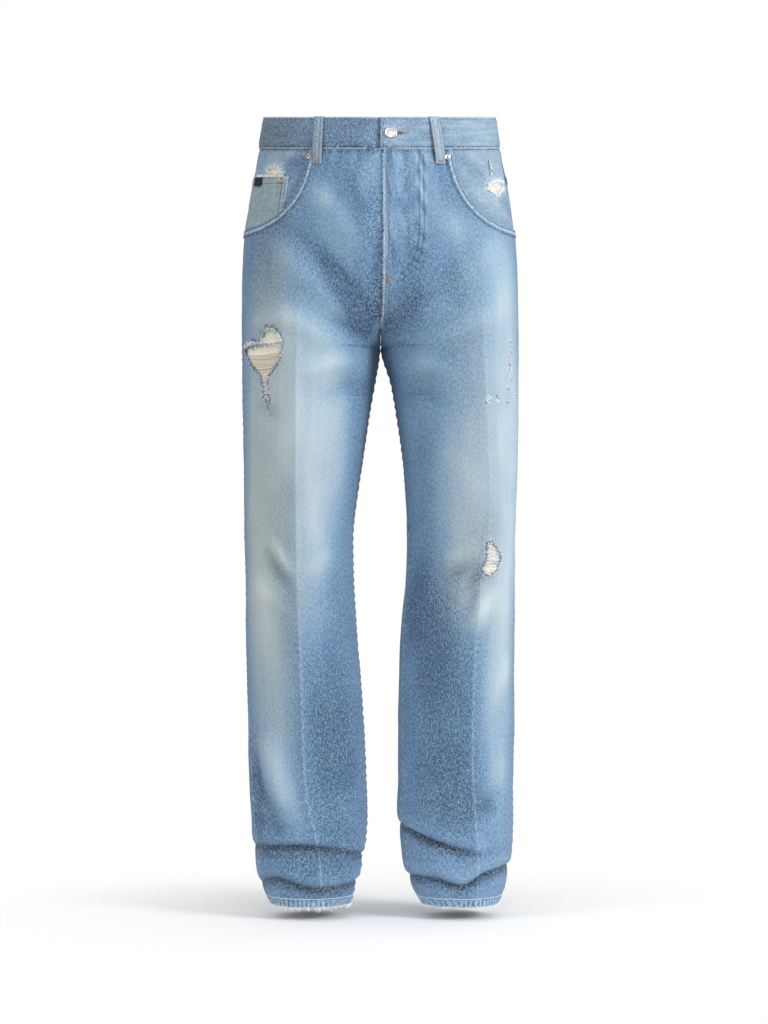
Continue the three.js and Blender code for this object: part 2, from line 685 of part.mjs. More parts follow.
// [side, face, distance from the middle plane at the top, the same at the foot]
const LOOPS = {
  belt_loop_front_right: [RIGHT, FRONT, 80, 83],
  belt_loop_front_left: [LEFT, FRONT, 70, 79],
  belt_loop_back_right: [RIGHT, BACK, 92, 94],
  belt_loop_back_left: [LEFT, BACK, 92, 94],
  belt_loop_back_middle: [LEFT, BACK, 0, 0],
};
const LOOP_ENDS = 7; // length stitched flat at each end
for (const [name, [side, face, top, foot]] of Object.entries(LOOPS)) {
  const heights = [LOOP.foot, LOOP.foot + LOOP_ENDS, -26, -14, 8, LOOP.top - LOOP_ENDS, LOOP.top];
  const strap = wall([-1, 0, 1], heights, (u, height, outer) => {
    const share = (height - LOOP.foot) / (LOOP.top - LOOP.foot);
    const distance = foot + (top - foot) * share + (u * LOOP.width) / 2;
    const on = distance < 0 ? -side : side;
    const flat = height <= LOOP.foot + LOOP_ENDS || height >= LOOP.top - LOOP_ENDS;
    const rest = height > BAND_FOOT - 6 ? BAND_PROUD + SEAM : SEAM;
    const gap = flat ? rest : LOOP.gap;
    const at = shareAt(on, face, height, Math.abs(distance));
    return offCloth(on, face, height, at, gap + (outer ? LOOP.thick : 0));
  });
  add(name, strap, paleDenim);
}

// ---- Rivets: a domed cap on the cloth's face ----

const RIVET_RADIUS = 4;
const RIVET_LIFT = 0.4;
const rivetProfile = [
  [0, 0], [RIVET_RADIUS, 0], [RIVET_RADIUS, 0.7], [RIVET_RADIUS - 0.9, 1.5],
  [1.6, 1.5], [1.1, 2.0], [0, 2.1],
];
// [side, distance from the middle plane, height]
const RIVETS = {
  rivet_right: [RIGHT, 94, -31],
  rivet_left: [LEFT, 88.5, -31.5],
  rivet_coin_pocket: [RIGHT, 131.5, -64],
};
for (const [name, [side, distance, height]] of Object.entries(RIVETS)) {
  const share = shareAt(side, FRONT, height, distance);
  const place = offCloth(side, FRONT, height, share, RIVET_LIFT);
  add(name, turned(rivetProfile, 14, place, facing(side, FRONT, height, share)), steel);
}

export default jeans;
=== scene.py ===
"""Ripped five-pocket jeans, filled out as if worn, with no wearer.

Metres, in the frame of the solids: the origin is the middle of the waist, +Z is up and the
wearer faces -Y. The wearer's right side is at -X.

The cloth is one surface, read by (side, face, share, height). Share runs round a panel from
0 at the outseam to 1 at the pressed crease and 2 at the inseam or the centre seam. Every sewn
piece is a grid laid on that surface, moved off it and given its thickness.
"""
import math
import random

import bmesh
import bpy
import numpy as np
from mathutils import Matrix, Vector


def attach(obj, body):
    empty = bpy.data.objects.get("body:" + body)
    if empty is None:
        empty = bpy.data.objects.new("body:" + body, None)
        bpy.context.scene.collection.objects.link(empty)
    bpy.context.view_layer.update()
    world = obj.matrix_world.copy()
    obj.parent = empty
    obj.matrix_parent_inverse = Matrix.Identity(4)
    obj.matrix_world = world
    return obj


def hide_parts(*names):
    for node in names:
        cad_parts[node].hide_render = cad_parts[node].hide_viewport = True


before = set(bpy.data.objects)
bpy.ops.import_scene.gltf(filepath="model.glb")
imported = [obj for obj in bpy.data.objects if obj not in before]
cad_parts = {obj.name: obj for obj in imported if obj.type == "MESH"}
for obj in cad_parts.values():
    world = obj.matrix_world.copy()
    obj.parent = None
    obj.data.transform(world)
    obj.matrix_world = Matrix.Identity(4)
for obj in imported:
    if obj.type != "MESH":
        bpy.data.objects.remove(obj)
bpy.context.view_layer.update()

# ---- Sizes ----

RIGHT, LEFT = -1, 1
FRONT, BACK = -1, 1

DENIM = 0.0014  # thickness of one layer of cloth
BAND_TOP, BAND_FOOT = 0.0215, -0.0215
BAND_THICK = 0.0026
BAND_PROUD = 0.0006
HIP, CROTCH, HEM = -0.190, -0.292, -1.039
WAIST_TILT = 0.13
RISE_CURVE = 0.096
OVAL_ENDS = -0.110
CREASE_REACH = 0.026

# (height, outer edge, inner edge) of each leg, outwards from the body's middle plane
LEG_WIDTHS = {
    RIGHT: [
        (BAND_TOP, 0.158, 0), (BAND_FOOT, 0.164, 0), (-0.090, 0.176, 0), (-0.150, 0.1845, 0),
        (-0.225, 0.1875, 0), (CROTCH, 0.1875, 0.0002), (-0.345, 0.187, 0.009), (-0.436, 0.1845, 0.023),
        (-0.533, 0.1835, 0.036), (-0.600, 0.1825, 0.0365), (-0.680, 0.181, 0.0315), (-0.792, 0.179, 0.023),
        (-0.873, 0.1775, 0.019), (-0.938, 0.173, 0.020), (-1.010, 0.162, 0.032), (HEM, 0.149, 0.040),
    ],
    LEFT: [
        (BAND_TOP, 0.155, 0), (BAND_FOOT, 0.161, 0), (-0.090, 0.174, 0), (-0.150, 0.1825, 0),
        (-0.225, 0.185, 0), (CROTCH, 0.186, 0.0002), (-0.345, 0.186, 0.015), (-0.436, 0.185, 0.029),
        (-0.533, 0.182, 0.036), (-0.600, 0.181, 0.0335), (-0.680, 0.1805, 0.027), (-0.792, 0.180, 0.024),
        (-0.873, 0.1795, 0.024), (-0.938, 0.1775, 0.026), (-1.010, 0.1695, 0.039), (HEM, 0.160, 0.055),
    ],
}

# (height, front face, back face, side seam), as depths from the body's middle
DEPTHS = [
    (BAND_TOP, 0.103, 0.110, 0.002), (BAND_FOOT, 0.109, 0.117, 0.002), (-0.090, 0.115, 0.131, 0.004),
    (HIP, 0.118, 0.142, 0.006), (CROTCH, 0.108, 0.121, 0.004), (-0.430, 0.096, 0.098, 0),
    (-0.600, 0.071, 0.073, 0), (-0.765, 0.058, 0.070, 0.005), (-0.890, 0.053, 0.068, 0.008),
    (-0.950, 0.058, 0.066, 0.006), (-1.000, 0.062, 0.062, 0.003), (HEM, 0.054, 0.054, 0.001),
]

# (height, how far the pressed crease lies from the middle plane, how far it stands out)
CREASES = {
    RIGHT: [
        (BAND_FOOT, 0.086, 0), (-0.190, 0.106, 0.001), (-0.300, 0.109, 0.005), (-0.430, 0.110, 0.009),
        (-0.560, 0.1105, 0.011), (-0.765, 0.104, 0.011), (-0.885, 0.099, 0.009), (-0.950, 0.086, 0.006),
        (-1.000, 0.080, 0.004), (HEM, 0.078, 0.003),
    ],
    LEFT: [
        (BAND_FOOT, 0.092, 0), (-0.190, 0.128, 0.001), (-0.300, 0.137, 0.004), (-0.430, 0.141, 0.007),
        (-0.540, 0.142, 0.009), (-0.620, 0.130, 0.009), (-0.740, 0.121, 0.011), (-0.870, 0.121, 0.009),
        (-0.950, 0.126, 0.006), (-1.000, 0.128, 0.004), (HEM, 0.128, 0.003),
    ],
}

# (height, degrees that the outseam is turned to the front, the same for the inseam)
SEAM_TURNS = {
    RIGHT: [(CROTCH, 0, 0), (-0.700, 0, 0), (-0.885, 24, 0), (-0.960, 22, 0), (HEM, 12, 0)],
    LEFT: [(CROTCH, 0, 0), (-0.430, 0, 2), (-0.630, 0, 19), (-0.900, 0, 22), (-0.960, 0, 26), (HEM, 0, 18)],
}

# The folds over the shoe: (degrees from the front, height, swelling); inwards is positive.
HEM_FOLDS = {
    RIGHT: [
        [(-180, -0.962, 0.003), (-90, -0.959, 0.003), (-45, -0.957, 0.007), (0, -0.955, 0.009),
         (55, -0.965, 0.006), (100, -0.972, 0.003), (150, -0.968, 0.003)],
        [(-180, -1.006, 0.003), (-95, -1.010, 0.003), (-40, -0.998, 0.007), (8, -1.011, 0.008),
         (60, -1.008, 0.006), (120, -1.004, 0.004)],
    ],
    LEFT: [
        [(-180, -0.960, 0.003), (-90, -0.962, 0.001), (-30, -0.963, 0.001), (-6, -0.960, 0.006),
         (14, -0.953, 0.009), (38, -0.944, 0.009), (75, -0.932, 0.005), (120, -0.928, 0.003)],
        [(-180, -1.000, 0.004), (-85, -0.985, 0.005), (-30, -0.992, 0.008), (-5, -1.007, 0.008),
         (28, -0.998, 0.007), (90, -0.999, 0.005), (140, -1.002, 0.004)],
    ],
}
FOLD_RISE, FOLD_UNDER, FOLD_LIP = 0.026, 0.010, 0.006
FOLD_TUCK, FOLD_DROP = 0.8, 0.35

# ---- The cloth's surface ----


def smooth(t):
    t = np.clip(t, 0.0, 1.0)
    return t * t * (3 - 2 * t)


def bell(distance, width):
    """1 at a distance of 0, falling away smoothly to either side."""
    return np.exp(-((distance / width) ** 2))


def through(stations, column):
    """One column of a table of stations as a smooth curve through them."""
    table = sorted(map(tuple, stations))
    place = np.array([row[0] for row in table], float)
    value = np.array([row[column] for row in table], float)
    before = np.maximum(np.arange(len(table)) - 1, 0)
    after = np.minimum(np.arange(len(table)) + 1, len(table) - 1)
    slope = (value[after] - value[before]) / (place[after] - place[before])

    def curve(at):
        at = np.asarray(at, float)
        i = np.clip(np.searchsorted(place, at, side="right") - 1, 0, len(place) - 2)
        span = place[i + 1] - place[i]
        t = np.clip((at - place[i]) / span, 0, 1)
        rest = 1 - t
        start = value[i] * (1 + 2 * t) + slope[i] * span * t
        end = value[i + 1] * (3 - 2 * t) - slope[i + 1] * span * rest
        return start * rest * rest + end * t * t

    return curve


front_depth = through(DEPTHS, 1)
back_depth = through(DEPTHS, 2)
side_depth = through(DEPTHS, 3)


class Leg:
    """The tables of one leg and its half of the body as curves."""

    def __init__(self, side):
        self.outer = through(LEG_WIDTHS[side], 1)
        self.inner = through(LEG_WIDTHS[side], 2)
        self.crease = through(CREASES[side], 1)
        self.ridge = through(CREASES[side], 2)
        self.out_turn = through(SEAM_TURNS[side], 1)
        self.in_turn = through(SEAM_TURNS[side], 2)
        self.folds = []
        for line in HEM_FOLDS[side]:
            before = [(a - 360, h, s) for a, h, s in line[-2:]]
            after = [(a + 360, h, s) for a, h, s in line[:2]]
            closed = before + line + after
            self.folds.append((through(closed, 1), through(closed, 2)))

    def middle(self, height):
        inner = np.where(height < CROTCH, self.inner(height), 0)
        return (self.outer(height) + inner) / 2


LEGS = {side: Leg(side) for side in (RIGHT, LEFT)}


def section(side, height, turn):
    """A point of one half's section, as (distance from the middle plane, depth)."""
    leg = LEGS[side]
    outer, middle = leg.outer(height), leg.middle(height)
    angle = np.radians(turn)
    depth = np.where(np.sin(angle) < 0, back_depth(height), -front_depth(height))
    seam = side_depth(height)
    across, along = np.cos(angle), np.abs(np.sin(angle))
    x = middle + (outer - middle) * across
    y = seam + (depth - seam) * along
    risen = np.clip((height - CROTCH) / RISE_CURVE, 0, 1)
    centre = seam + (depth * 0.985 - seam) * np.sqrt(1 - (1 - risen) ** 2)
    cleft = (1 - risen) ** 2
    fall = cleft * (1 - along) + (1 - cleft) * smooth(-across)
    y_body = np.where(across < 0, depth + (centre - depth) * fall, y)
    share = smooth((OVAL_ENDS - height) / (OVAL_ENDS - CROTCH))
    x_body = x * share + outer * np.cos(angle / 2) * (1 - share)
    oval = seam + (depth - seam) * np.abs(np.sin(angle / 2))
    y_body = y_body * share + oval * (1 - share)
    body = height > CROTCH
    return np.where(body, x_body, x), np.where(body, y_body, y)


class Panel:
    """Where a panel's shares lie: their turns and their lengths from the outseam."""

    STEP = 0.003
    SHARES = np.linspace(0, 2, 161)

    def __init__(self, side, face):
        self.levels = np.arange(BAND_TOP + 0.012, HEM - 0.012, -self.STEP)
        leg = LEGS[side]
        below = self.levels < CROTCH
        start = np.where(below, leg.out_turn(self.levels), 0)
        in_turn = np.where(below, leg.in_turn(self.levels), 0)
        end = np.where(below, -face * 180 - in_turn, -face * 180)
        ramp = np.linspace(0, 1, 121)
        turns = start[:, None] + (end - start)[:, None] * ramp
        levels = np.repeat(self.levels[:, None], len(ramp), 1)
        x, y = section(side, levels, turns)
        steps = np.hypot(np.diff(x, axis=1), np.diff(y, axis=1))
        lengths = np.hstack([np.zeros((len(x), 1)), np.cumsum(steps, axis=1)])
        goal = leg.crease(self.levels) if face == FRONT else leg.middle(self.levels)
        self.turns, self.lengths, self.reach = [], [], []
        self.crease_at = np.empty(len(self.levels))
        for i, aim in enumerate(goal):
            crease = np.interp(-aim, -x[i], lengths[i])
            total = lengths[i][-1]
            length = np.where(
                self.SHARES <= 1,
                crease * self.SHARES,
                crease + (total - crease) * (self.SHARES - 1),
            )
            self.crease_at[i] = crease
            self.lengths.append(length)
            self.turns.append(np.interp(length, lengths[i], turns[i]))
            self.reach.append(np.interp(length, lengths[i], x[i]))
        self.turns = np.array(self.turns)
        self.lengths = np.array(self.lengths)
        self.reach = np.array(self.reach)

    def read(self, table, share, height):
        """A table's value at each share and height, on straight lines between its entries."""
        row = np.clip((self.levels[0] - height) / self.STEP, 0, len(self.levels) - 1.001)
        column = np.clip(share / 2 * (len(self.SHARES) - 1), 0, len(self.SHARES) - 1.001)
        i, j = row.astype(int), column.astype(int)
        v, u = row - i, column - j
        top = table[i, j] * (1 - u) + table[i, j + 1] * u
        low = table[i + 1, j] * (1 - u) + table[i + 1, j + 1] * u
        return top * (1 - v) + low * v

    def crease_length(self, height):
        return np.interp(-height, -self.levels, self.crease_at)

    def total_length(self, height):
        return np.interp(-height, -self.levels, self.lengths[:, -1])

    def along(self, share, height):
        """Length round the panel from the crease: negative towards the outseam."""
        return self.read(self.lengths, share, height) - self.crease_length(height)

    def inner_length(self, height):
        """Length from the crease to the panel's inner edge."""
        return self.total_length(height) - self.crease_length(height)

    def share_at(self, along, height):
        crease, total = self.crease_length(height), self.total_length(height)
        return np.where(along <= 0, 1 + along / crease, 1 + along / (total - crease))

    def share_of(self, distance, height):
        """The share at a distance from the body's middle plane."""
        distance, height = np.broadcast_arrays(np.atleast_1d(distance).astype(float), height)
        shares = np.empty(distance.shape)
        for k, (d, h) in enumerate(zip(distance, height)):
            row = np.clip((self.levels[0] - h) / self.STEP, 0, len(self.levels) - 1.001)
            i = int(row)
            upper, lower = (np.interp(-d, -self.reach[j], self.SHARES) for j in (i, i + 1))
            shares[k] = upper + (lower - upper) * (row - i)
        return shares


PANELS = {(side, face): Panel(side, face) for side in (RIGHT, LEFT) for face in (FRONT, BACK)}

# ---- Folds and wrinkles, placed one by one ----

# Each is (points as (distance from the middle plane, height), width, height of the ridge).
# A negative ridge is a trough. Lists are by panel.
WRINKLES = {
    (RIGHT, FRONT): [
        # drag lines from the hip in to the crotch
        ([(0.150, -0.150), (0.095, -0.205), (0.040, -0.262)], 0.016, 0.0026),
        ([(0.128, -0.128), (0.072, -0.185), (0.024, -0.235)], 0.011, -0.0020),
        ([(0.170, -0.215), (0.110, -0.262), (0.050, -0.300)], 0.015, 0.0020),
        ([(0.098, -0.060), (0.060, -0.110), (0.020, -0.185)], 0.012, 0.0016),
        ([(0.070, -0.255), (0.035, -0.275), (0.008, -0.288)], 0.010, -0.0035),
        ([(0.110, -0.330), (0.060, -0.315), (0.018, -0.318)], 0.014, 0.0026),
        ([(0.090, -0.372), (0.050, -0.350), (0.016, -0.352)], 0.012, -0.0020),
        # round the thigh, by the rip
        ([(0.172, -0.262), (0.150, -0.258), (0.120, -0.262)], 0.012, 0.0022),
        ([(0.130, -0.392), (0.148, -0.380), (0.165, -0.370)], 0.010, -0.0018),
        # at the knee
        ([(0.156, -0.560), (0.136, -0.592), (0.118, -0.618)], 0.008, -0.0030),
        ([(0.146, -0.545), (0.130, -0.575), (0.114, -0.602)], 0.008, 0.0028),
        ([(0.170, -0.600), (0.145, -0.628), (0.120, -0.650)], 0.012, 0.0016),
        ([(0.060, -0.560), (0.085, -0.585), (0.108, -0.600)], 0.012, 0.0016),
        # the hollow in front of the outseam above the hem
        ([(0.170, -0.830), (0.162, -0.880), (0.140, -0.925)], 0.010, -0.0040),
        ([(0.156, -0.800), (0.142, -0.860), (0.118, -0.915)], 0.016, 0.0036),
        ([(0.060, -0.880), (0.052, -0.915), (0.040, -0.940)], 0.014, 0.0025),
        ([(0.125, -0.940), (0.150, -0.928), (0.168, -0.915)], 0.009, -0.0025),
    ],
    (LEFT, FRONT): [
        ([(0.150, -0.150), (0.100, -0.205), (0.045, -0.262)], 0.016, 0.0024),
        ([(0.128, -0.165), (0.080, -0.220), (0.034, -0.258)], 0.012, -0.0020),
        ([(0.168, -0.235), (0.110, -0.270), (0.045, -0.305)], 0.015, 0.0020),
        ([(0.060, -0.215), (0.030, -0.250), (0.008, -0.285)], 0.010, -0.0030),
        ([(0.105, -0.335), (0.060, -0.318), (0.024, -0.322)], 0.014, 0.0026),
        ([(0.090, -0.378), (0.055, -0.356), (0.026, -0.360)], 0.012, -0.0020),
        # the deep fold under the knee's rip
        ([(0.134, -0.594), (0.122, -0.625), (0.104, -0.665)], 0.009, -0.0052),
        ([(0.150, -0.606), (0.138, -0.640), (0.128, -0.680)], 0.012, 0.0030),
        ([(0.130, -0.556), (0.104, -0.572), (0.080, -0.585)], 0.014, 0.0022),
        ([(0.132, -0.586), (0.108, -0.596), (0.080, -0.612)], 0.010, -0.0022),
        ([(0.172, -0.700), (0.158, -0.740), (0.142, -0.780)], 0.014, 0.0022),
        ([(0.160, -0.880), (0.142, -0.905), (0.128, -0.922)], 0.012, -0.0032),
        ([(0.100, -0.870), (0.075, -0.885), (0.050, -0.880)], 0.014, 0.0022),
        ([(0.128, -0.975), (0.132, -0.955), (0.126, -0.935)], 0.007, 0.0020),
    ],
    (RIGHT, BACK): [
        ([(0.150, -0.262), (0.095, -0.300), (0.035, -0.318)], 0.016, -0.0040),
        ([(0.150, -0.292), (0.100, -0.330), (0.040, -0.350)], 0.016, 0.0030),
        ([(0.120, -0.345), (0.080, -0.368), (0.036, -0.380)], 0.012, -0.0028),
        ([(0.160, -0.560), (0.110, -0.585), (0.060, -0.572)], 0.014, -0.0046),
        ([(0.155, -0.600), (0.110, -0.622), (0.060, -0.606)], 0.015, 0.0040),
        ([(0.160, -0.652), (0.110, -0.640), (0.055, -0.660)], 0.013, -0.0036),
        ([(0.150, -0.700), (0.110, -0.712), (0.060, -0.690)], 0.016, 0.0026),
        ([(0.150, -0.850), (0.105, -0.885), (0.055, -0.905)], 0.014, -0.0030),
        ([(0.055, -0.850), (0.100, -0.920), (0.140, -0.935)], 0.014, 0.0026),
    ],
    (LEFT, BACK): [
        ([(0.150, -0.270), (0.095, -0.305), (0.035, -0.316)], 0.016, -0.0040),
        ([(0.150, -0.300), (0.100, -0.336), (0.040, -0.352)], 0.016, 0.0030),
        ([(0.125, -0.352), (0.080, -0.372), (0.036, -0.384)], 0.012, -0.0026),
        ([(0.160, -0.575), (0.110, -0.560), (0.060, -0.580)], 0.014, -0.0044),
        ([(0.155, -0.612), (0.110, -0.600), (0.060, -0.618)], 0.015, 0.0040),
        ([(0.160, -0.640), (0.110, -0.655), (0.055, -0.645)], 0.013, -0.0036),
        ([(0.150, -0.705), (0.110, -0.695), (0.060, -0.712)], 0.016, 0.0024),
        ([(0.150, -0.870), (0.105, -0.900), (0.055, -0.890)], 0.014, -0.0030),
        ([(0.060, -0.840), (0.100, -0.900), (0.145, -0.920)], 0.014, 0.0024),
    ],
}


def to_along(side, face, points):
    """Points given as (distance from the middle plane, height) as (along, height)."""
    panel = PANELS[side, face]
    points = np.asarray(points, float)
    share = panel.share_of(points[:, 0], points[:, 1])
    return np.column_stack([panel.along(share, points[:, 1]), points[:, 1]])


def flat_line(panel, share, height):
    """Shares and heights on a panel as (along, height)."""
    return np.column_stack([panel.along(share, height), height])


def line_distance(points, along, height):
    """Distance from each place to a line of points, and how far along the line it falls."""
    best = np.full(np.shape(along), 1e9)
    place = np.zeros(np.shape(along))
    spans = np.hypot(*np.diff(points, axis=0).T)
    done, whole = 0.0, spans.sum()
    for (a, b), span in zip(zip(points[:-1], points[1:]), spans):
        way = (b - a) / span
        t = np.clip((along - a[0]) * way[0] + (height - a[1]) * way[1], 0, span)
        gap = np.hypot(along - a[0] - way[0] * t, height - a[1] - way[1] * t)
        nearer = gap < best
        best = np.where(nearer, gap, best)
        place = np.where(nearer, (done + t) / whole, place)
        done += span
    return best, place


def even_points(line, step):
    """A line of points stepped off at an even spacing."""
    line = np.asarray(line, float)
    lengths = np.concatenate([[0], np.cumsum(np.linalg.norm(np.diff(line, axis=0), axis=1))])
    count = max(2, int(round(lengths[-1] / step)) + 1)
    at = np.linspace(0, lengths[-1], count)
    return np.column_stack([np.interp(at, lengths, line[:, c]) for c in range(line.shape[1])])


def left_way(line):
    """The way to a flat line's left, at each of its points."""
    way = np.gradient(line, axis=0)
    way /= np.linalg.norm(way, axis=1, keepdims=True)
    return np.column_stack([-way[:, 1], way[:, 0]])


def shifted(line, sideways):
    """A flat line moved to its left by a distance."""
    line = np.asarray(line, float)
    return line + left_way(line) * sideways


def smoothed(points, count=40):
    """Corner points of a flat line joined by a smooth curve."""
    points = np.asarray(points, float)
    knots = np.arange(len(points))
    at = np.linspace(0, len(points) - 1, count)
    return np.column_stack([through(np.column_stack([knots, points[:, c]]), 1)(at) for c in (0, 1)])


# The curved rows of stitches that hold the fly: (distance from the middle plane, height)
FLY_CURVE = [
    (0.0510, -0.024), (0.0510, -0.090), (0.0505, -0.150),
    (0.0440, -0.178), (0.0300, -0.197), (0.0125, -0.209),
]
FLY_FLAT = smoothed(to_along(LEFT, FRONT, FLY_CURVE), 60)
FLY_ROWS = (0.0, -0.0062)  # how far each row lies from the curve

WRINKLE_LINES = {
    key: [(to_along(*key, points), width, ridge) for points, width, ridge in lines]
    for key, lines in WRINKLES.items()
}


SHUFFLED = np.random.RandomState(11).permutation(256)


def wavy(at, height, scale, seed):
    """Smooth noise from about -1 to 1 over a panel; scale is the size of its waves."""
    u = np.asarray(at, float) / scale[0] + seed * 17.13
    v = np.asarray(height, float) / scale[1] + seed * 9.71
    u, v = np.broadcast_arrays(u, v)
    i, j = np.floor(u).astype(int), np.floor(v).astype(int)
    fu, fv = u - i, v - j

    def corner(a, b):
        angle = SHUFFLED[(SHUFFLED[(i + a) % 256] + j + b) % 256] * (math.pi / 128)
        return np.cos(angle) * (fu - a) + np.sin(angle) * (fv - b)

    su, sv = smooth(fu), smooth(fv)
    low = corner(0, 0) * (1 - su) + corner(1, 0) * su
    high = corner(0, 1) * (1 - su) + corner(1, 1) * su
    return (low * (1 - sv) + high * sv) * 1.5


PUCKER_PITCH = 0.011


def wrinkles(side, face, along, height):
    """The listed folds, as a height."""
    total = np.zeros(np.shape(along))
    for line, width, ridge in WRINKLE_LINES[side, face]:
        (u0, v0), (u1, v1) = line.min(axis=0) - 2.5 * width, line.max(axis=0) + 2.5 * width
        near = (along > u0) & (along < u1) & (height > v0) & (height < v1)
        if near.any():
            gap, place = line_distance(line, along[near], height[near])
            fade = np.sin(np.pi * np.clip(place, 0.02, 0.98)) ** 0.7
            total[near] += ridge * fade * bell(gap, width)
    return total


def gathers(side, face, along, height):
    """The small gathers under the waistband."""
    return wavy(along, height, (0.009, 0.09), 3.1 + side + 0.4 * face + 4)


def relief(side, face, share, height):
    """How far the cloth stands out from its plain form: drag lines, puckers and slack."""
    panel = PANELS[side, face]
    along, height = np.broadcast_arrays(panel.along(share, height), height)
    total = 1.6 * wrinkles(side, face, along, height)
    seed = 3.1 + side + 0.4 * face
    total += 0.0011 * wavy(along, height, (0.055, 0.085), seed)
    total += 0.0005 * wavy(along, height, (0.018, 0.030), seed + 7)
    # The seams draw the cloth up into small puckers.
    leg = height < CROTCH + 0.01
    to_out = along + panel.crease_length(height)
    to_in = panel.inner_length(height) - along
    beat = np.sin(2 * np.pi * height / PUCKER_PITCH + 2.5 * wavy(along * 0, height, (1, 0.05), seed + 2))
    total += 0.00055 * beat * bell(to_out, 0.006) * leg
    total += 0.00085 * beat * bell(to_in, 0.007) * leg
    total -= 0.0008 * bell(to_in, 0.003) * leg
    total -= 0.0008 * bell(to_out, 0.003)
    # Under the waistband the cloth is eased in.
    below = BAND_FOOT - height
    ease = np.exp(-below / 0.030) * (below > -0.001) * smooth((below + 0.001) / 0.006)
    total += 0.0022 * ease * gathers(side, face, along, height)
    total -= 0.0010 * bell(below, 0.0035)
    return total


def form_at(side, face, share, height):
    """The plain form's x and y, and the way out from the middle of its leg."""
    panel, leg = PANELS[side, face], LEGS[side]
    turn = panel.read(panel.turns, share, height)
    x, y = section(side, height, turn)
    out_x, out_y = x - leg.middle(height), y - side_depth(height)
    size = np.hypot(out_x, out_y)
    return x, y, out_x / size, out_y / size


def surface(side, face, share, height, plain=False):
    """Points of the cloth's outer face."""
    share, height = np.broadcast_arrays(np.asarray(share, float), np.asarray(height, float))
    panel, leg = PANELS[side, face], LEGS[side]
    x, y, out_x, out_y = form_at(side, face, share, height)
    round_leg = np.degrees(np.arctan2(-out_x, -out_y))
    along = panel.along(share, height)
    swell = leg.ridge(height) * np.exp(-np.abs(along) / CREASE_REACH)
    drop = np.zeros(np.shape(height))
    for fold_height, fold_swell in leg.folds:
        above = height - fold_height(round_leg)
        bulge = fold_swell(round_leg)
        lip = np.exp(-np.maximum(above, 0) / FOLD_LIP)
        over = np.exp(-np.maximum(above, 0) / FOLD_RISE) - lip - FOLD_TUCK * lip
        under = -FOLD_TUCK * np.exp(np.minimum(above, 0) / FOLD_UNDER)
        swell = swell + bulge * np.where(above > 0, over, under)
        sink = bell(above - 0.006, 0.008)
        sink_under = bell(0.006, 0.008) * np.exp(np.minimum(above, 0) / FOLD_UNDER)
        drop = drop - bulge * FOLD_DROP * np.where(above > 0, sink, sink_under)
    if not plain:
        swell = swell + relief(side, face, share, height)
    y = y + out_y * swell
    tilt = WAIST_TILT * smooth((height - HIP) / (BAND_FOOT - HIP))
    return np.stack([side * (x + out_x * swell), y, height + drop + tilt * y], axis=-1)


def facing(side, face, share, height, plain=False):
    """The way the cloth faces."""
    step, rise = 0.012, 0.0012
    share = np.clip(share, 0, 2)
    a = surface(side, face, np.maximum(share - step, 0), height, plain)
    b = surface(side, face, np.minimum(share + step, 2), height, plain)
    low = surface(side, face, share, height - rise, plain)
    high = surface(side, face, share, height + rise, plain)
    normal = np.cross(b - a, high - low) * side * face
    centre = (np.asarray(share) > 1.98) & (np.asarray(height) > CROTCH)
    normal[..., 0] = np.where(centre, 0, normal[..., 0])
    return normal / np.linalg.norm(normal, axis=-1, keepdims=True)


def off_cloth(side, face, share, height, out, plain=False):
    """Points a distance out from the cloth's face."""
    share, height = np.broadcast_arrays(np.asarray(share, float), np.asarray(height, float))
    out = np.broadcast_to(out, share.shape)
    if np.any(share > 2):
        # Past the centre seam the cloth goes on over the other half.
        own = off_cloth(side, face, np.minimum(share, 2), height, out, plain)
        other = off_cloth(-side, face, 4 - np.maximum(share, 2), height, out, plain)
        return np.where((share > 2)[..., None], other, own)
    at = (side, face, share, height, plain)
    return surface(*at) + facing(*at) * out[..., None]


# ---- Dye, wear and painted shade: the colour of each stretch of cloth ----

# Colours as the eye reads them, from 0 to 255. Levels run from unworn dye at 0 to bare at 1.
DYES = [(60, 94, 128), (92, 128, 162), (125, 157, 186), (166, 188, 203), (206, 218, 223)]
BLUE = (100, 138, 176)
SAGE = (167, 175, 171)


def linear(colour):
    c = np.asarray(colour, float) / 255
    return np.where(c <= 0.04045, c / 12.92, ((c + 0.055) / 1.055) ** 2.4)


def dyed(level):
    """The colour of cloth worn to a level."""
    level = np.clip(level, 0, 1) * (len(DYES) - 1)
    steps = np.arange(len(DYES))
    return np.stack([np.interp(level, steps, linear(DYES)[:, c]) for c in range(3)], axis=-1)
